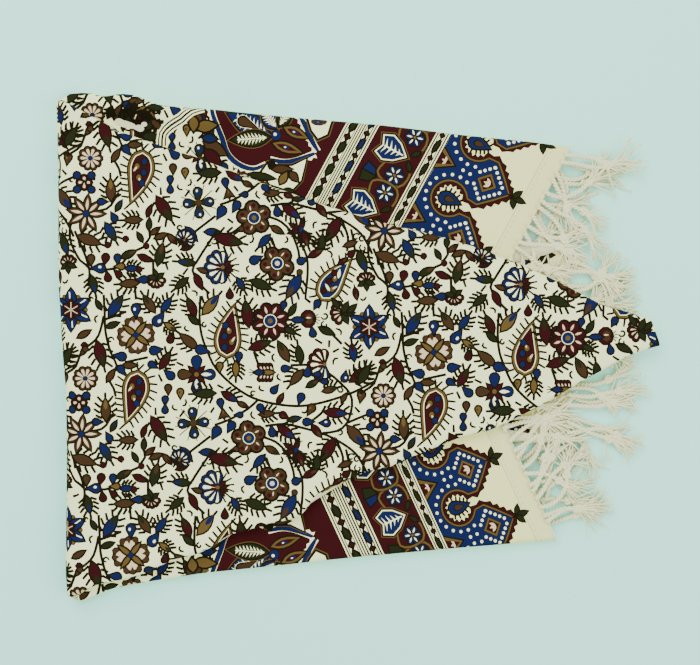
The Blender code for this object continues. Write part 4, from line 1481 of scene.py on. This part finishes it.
def weld(mesh, groups):
    """Joins each group's points where they meet, and drops the points that no face uses."""
    bm = bmesh.new()
    bm.from_mesh(mesh)
    bm.verts.ensure_lookup_table()
    for group in [[bm.verts[int(k)] for k in group] for group in groups]:
        bmesh.ops.remove_doubles(bm, verts=group, dist=WELD)
    bmesh.ops.delete(bm, geom=[vert for vert in bm.verts if not vert.link_faces], context="VERTS")
    bm.to_mesh(mesh)
    bm.free()


def make_cloth(materials):
    """The sheet: its printed side, its reverse, and the narrow edge between them at the hem and the tip."""
    hem, tip = hem_and_tip()
    loop, seam = sheet_loop(hem, tip)
    front_grid, back_grid = grids(hem, tip)
    flat, triangles, dyes = printed_face(hem, tip, loop, front_grid)
    rim = rim_of(triangles)
    back, back_triangles, back_of = reverse_face(flat, rim, back_grid)
    side = np.full(len(back), BACK_SIDE)
    side[list(back_of.values())] = -1.0
    points = np.concatenate([cloth_points(*flat.T, 1), cloth_points(*back.T, side)]) * MM

    top = np.where(flat[:, 1] > 0, np.interp(flat[:, 0], *seam[1].T), -np.interp(flat[:, 0], *seam[-1].T))
    on_seam = np.abs(np.abs(flat[:, 1]) - top) < .03
    twin = {k: back_of[k] + len(flat) for k in rim}
    quads = [(b, a, twin[a], twin[b]) for a, b in zip(rim, rim[1:] + rim[:1])
             if not (on_seam[a] and on_seam[b])]
    faces = [tuple(t) for t in triangles] + [tuple(t[::-1] + len(flat)) for t in back_triangles] + quads
    inks = list(dyes) + [INK["reverse"]] * len(back_triangles) + [INK["hem"]] * len(quads)
    cloth = added("printed_cloth", [tuple(p) for p in points], faces, materials, inks)
    weld(cloth.data, (np.flatnonzero(on_seam), [twin[k] for k in rim if on_seam[k]]))
    return cloth


# The fringe: each set hangs from a hem between two places Y, at a height, and comes to rest at another
FringeSet = namedtuple("FringeSet", "piece hem y_from y_to root_z rest_z cords seed")
FRINGE_SETS = [FringeSet(*row) for row in (
    ("tassels_base", "base", 138, 80, 0.9, 0.2, 9, 3),
    ("tassels_base", "base", 58, -54, 0.9, 0.2, 13, 4),
    ("tassels_base", "base", -76, -126, 0.9, 0.2, 7, 5),
    ("tassels_middle", "middle", 66, -62, 3.3, 1.8, 16, 6),
    ("tassels_upper", "wing", 137, 24, 7.4, 3.4, 19, 7),
    ("tassels_lower", "wing", -22, -125, 7.4, 3.4, 18, 8),
)]
PLY_RADIUS, PLY_OFFSET, PLY_PITCH = 0.95, 0.82, 5.4
YARN_RADIUS = 0.56
CORD_STEP, YARN_STEP = 0.8, 1.8
KNOT_TUBE = 1.15
ANY_TURN = 6.28


def tube(points, radius, sides, verts, faces):
    """A closed tube along points. radius is one number, or one for each point."""
    points = np.asarray(points, float)
    radius = np.broadcast_to(radius, len(points))
    way = np.gradient(points, axis=0)
    way /= np.linalg.norm(way, axis=1)[:, None] + 1e-9
    side = np.cross(way, [0.13, 0.08, 1.0])
    side /= np.linalg.norm(side, axis=1)[:, None] + 1e-9
    over = np.cross(side, way)
    turn = np.arange(sides) * 2 * math.pi / sides
    ring = (side[:, None] * np.cos(turn)[None, :, None] + over[:, None] * np.sin(turn)[None, :, None])
    first = len(verts)
    verts.extend(map(tuple, (points[:, None] + ring * radius[:, None, None]).reshape(-1, 3)))
    for k in range(len(points) - 1):
        for n in range(sides):
            a, b = first + k * sides + n, first + k * sides + (n + 1) % sides
            faces.append((a, a + sides, b + sides, b))
    faces.append(tuple(first + n for n in range(sides)))
    faces.append(tuple(first + (len(points) - 1) * sides + n for n in range(sides))[::-1])


def wander(rng, place, heading, length, step, z_from, z_to, sway):
    """A line that leaves a place on a heading, bends from side to side and sinks to another height."""
    count = max(int(length / step), 3)
    bend, phase, pace = rng.uniform(-sway, sway), rng.uniform(0, ANY_TURN), rng.uniform(0.10, 0.2)
    hump, at = rng.uniform(0, 2.2), rng.uniform(0.35, 0.8)
    x, y = place
    points = []
    for k in range(count + 1):
        t = k / count
        z = z_from + (z_to - z_from) * float(smooth(0.05, 0.55, t)) + hump * math.exp(-(((t - at) / .16) ** 2))
        points.append((x, y, z))
        heading += (bend + sway * math.sin(phase + pace * k * step)) * step
        x, y = x + math.cos(heading) * step, y + math.sin(heading) * step
    return np.array(points), heading


def hem_point(hem, y):
    """The X of a named hem at y, and the way that points outwards from it."""
    find = {"base": base_hem_x, "wing": wing_hem_x, "middle": lambda _: PLEAT_HEM_X}[hem]
    x = float(find(y))
    return x, math.atan2(-(float(find(y + 1)) - float(find(y - 1))), 2.0)


def add_cord(rng, place, heading, root_z, rest_z, verts, faces):
    """One two-ply cord with its knot and the loose yarns beyond it."""
    length = rng.uniform(24, 37)
    thick = PLY_RADIUS + PLY_OFFSET
    line, heading = wander(rng, place, heading, length, CORD_STEP, root_z + thick, rest_z + thick, 0.030)
    way = np.gradient(line, axis=0)
    way /= np.linalg.norm(way, axis=1)[:, None]
    side = np.cross(way, [0, 0, 1.0])
    side /= np.linalg.norm(side, axis=1)[:, None]
    over = np.cross(side, way)
    turn = 2 * math.pi * np.arange(len(line)) * CORD_STEP / PLY_PITCH + rng.uniform(0, ANY_TURN)
    for half in (0, math.pi):
        ply = line + PLY_OFFSET * (side * np.cos(turn + half)[:, None] + over * np.sin(turn + half)[:, None])
        tube(ply, PLY_RADIUS, 6, verts, faces)
    a = np.linspace(0, 2 * math.pi, 25)
    away = 2.0 + np.cos(3 * a)
    knot = np.stack([away * np.cos(2 * a), away * np.sin(2 * a), np.sin(3 * a)], axis=1)
    spin, size = rng.uniform(0, ANY_TURN), rng.uniform(0.72, 0.90)
    flat = np.stack([knot[:, 0] * math.cos(spin) - knot[:, 1] * math.sin(spin),
                     knot[:, 0] * math.sin(spin) + knot[:, 1] * math.cos(spin),
                     knot[:, 2] * 1.1], axis=1) * size
    centre = line[-1] + [0.6 * math.cos(heading), 0.6 * math.sin(heading), 0]
    centre[2] = max(centre[2], 2.3)
    tube(flat + centre, KNOT_TUBE, 6, verts, faces)
    reach = rng.uniform(17, 29)
    for _ in range(rng.randint(12, 15)):
        start = centre[:2] + [rng.uniform(-1, 1), rng.uniform(-1, 1)]
        yarn, _ = wander(rng, start, heading + rng.gauss(0, 0.20), reach * rng.uniform(0.7, 1.05), YARN_STEP,
                         centre[2] + rng.uniform(-.8, .8), max(rest_z, 0) + rng.uniform(0.6, 3.0), 0.035)
        yarn[:, 2] = np.maximum(yarn[:, 2], YARN_RADIUS)
        tube(yarn, np.linspace(YARN_RADIUS * 1.2, YARN_RADIUS * .8, len(yarn)), 5, verts, faces)


def make_fringe(material, shift):
    """The fringe's pieces, each with all of its sets' cords."""
    pieces = {}
    for fringe in FRINGE_SETS:
        verts, faces = pieces.setdefault(fringe.piece, ([], []))
        rng = random.Random(fringe.seed)
        for number in range(fringe.cords):
            share = (number + 0.5 + rng.uniform(-.3, .3)) / fringe.cords
            y = fringe.y_from + (fringe.y_to - fringe.y_from) * share
            x, out = hem_point(fringe.hem, y)
            place = (x - 2.0 * math.cos(out), y - 2.0 * math.sin(out))
            add_cord(rng, place, out + rng.gauss(0, 0.38), fringe.root_z, fringe.rest_z, verts, faces)
    made = []
    for name, (verts, faces) in pieces.items():
        points = [(x * MM + shift[0], y * MM + shift[1], max(z, 0.02) * MM) for x, y, z in verts]
        made.append(added(name, points, faces, [material]))
    return made


FRINGE_NODES = {
    "tassels_base": ("fringe_base_upper", "fringe_base_centre", "fringe_base_lower"),
    "tassels_middle": ("fringe_centre",),
    "tassels_upper": ("fringe_upper",),
    "tassels_lower": ("fringe_lower",),
}


def make_material(name, colour, roughness):
    """A matt finish in one colour."""
    material = bpy.data.materials.new(name)
    material.use_nodes = True
    shader = material.node_tree.nodes["Principled BSDF"]
    shader.inputs["Base Color"].default_value = (*colour, 1)
    shader.inputs["Roughness"].default_value = roughness
    shader.inputs["Specular IOR Level"].default_value = 0.02
    return material


def centre_on_solid(cloth):
    """Moves the cloth to the middle of the solid's own box, and returns how far."""
    low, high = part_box("cloth")
    own = np.array([v.co for v in cloth.data.vertices])
    shift = [(low[k] + high[k]) / 2 - (own[:, k].min() + own[:, k].max()) / 2 for k in range(2)]
    for v in cloth.data.vertices:
        v.co.x += shift[0]
        v.co.y += shift[1]
    return shift


# The photo's surface, camera and light
FLOOR_HALF = 1.5
PHOTO_MIDDLE = (350, 332.5)
CAMERA_HEIGHT = 0.825
SKY = (0.90, 0.99, 0.95, 1)
LIGHTS = (("key", (-0.5, 0.9, 1.3), 20), ("fill", (0.9, -0.3, 1.2), 7))


def set_stage(shift):
    corners = [(x * FLOOR_HALF, y * FLOOR_HALF, 0) for x, y in ((-1, -1), (1, -1), (1, 1), (-1, 1))]
    floor_mesh = bpy.data.meshes.new("floor")
    floor_mesh.from_pydata(corners, [], [(0, 1, 2, 3)])
    floor_mesh.materials.append(make_material("floor", (0.50, 0.98, 0.86), 0.9))
    floor = in_scene("floor", floor_mesh)
    floor.location.z = -0.0005

    camera_data = bpy.data.cameras.new("camera")
    camera_data.lens, camera_data.sensor_width = 60, 36
    camera = in_scene("camera", camera_data)
    camera.location = ((PHOTO_MIDDLE[0] - CHART_X) * UNIT * MM + shift[0],
                       (CHART_Y - PHOTO_MIDDLE[1]) * UNIT * MM + shift[1], CAMERA_HEIGHT)
    bpy.context.scene.camera = camera

    world = bpy.data.worlds.new("world")
    world.use_nodes = True
    world.node_tree.nodes["Background"].inputs["Color"].default_value = SKY
    world.node_tree.nodes["Background"].inputs["Strength"].default_value = 1.42
    bpy.context.scene.world = world
    for name, place, energy in LIGHTS:
        light_data = bpy.data.lights.new(name, "AREA")
        light_data.energy, light_data.size = energy, 0.9
        light = in_scene(name, light_data)
        light.location = place
        light.rotation_euler = Vector(place).to_track_quat("Z", "Y").to_euler()


def main():
    cloth = make_cloth([make_material(ink.name, ink.colour, ink.roughness) for ink in INKS])
    shift = centre_on_solid(cloth)
    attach(cloth, "root")
    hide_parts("cloth")
    tassels = make_fringe(make_material("yarn", (0.82, 0.79, 0.50), 0.95), shift)
    for piece in tassels:
        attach(piece, "root")
        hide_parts(*FRINGE_NODES[piece.name])
    set_stage(shift)


main()
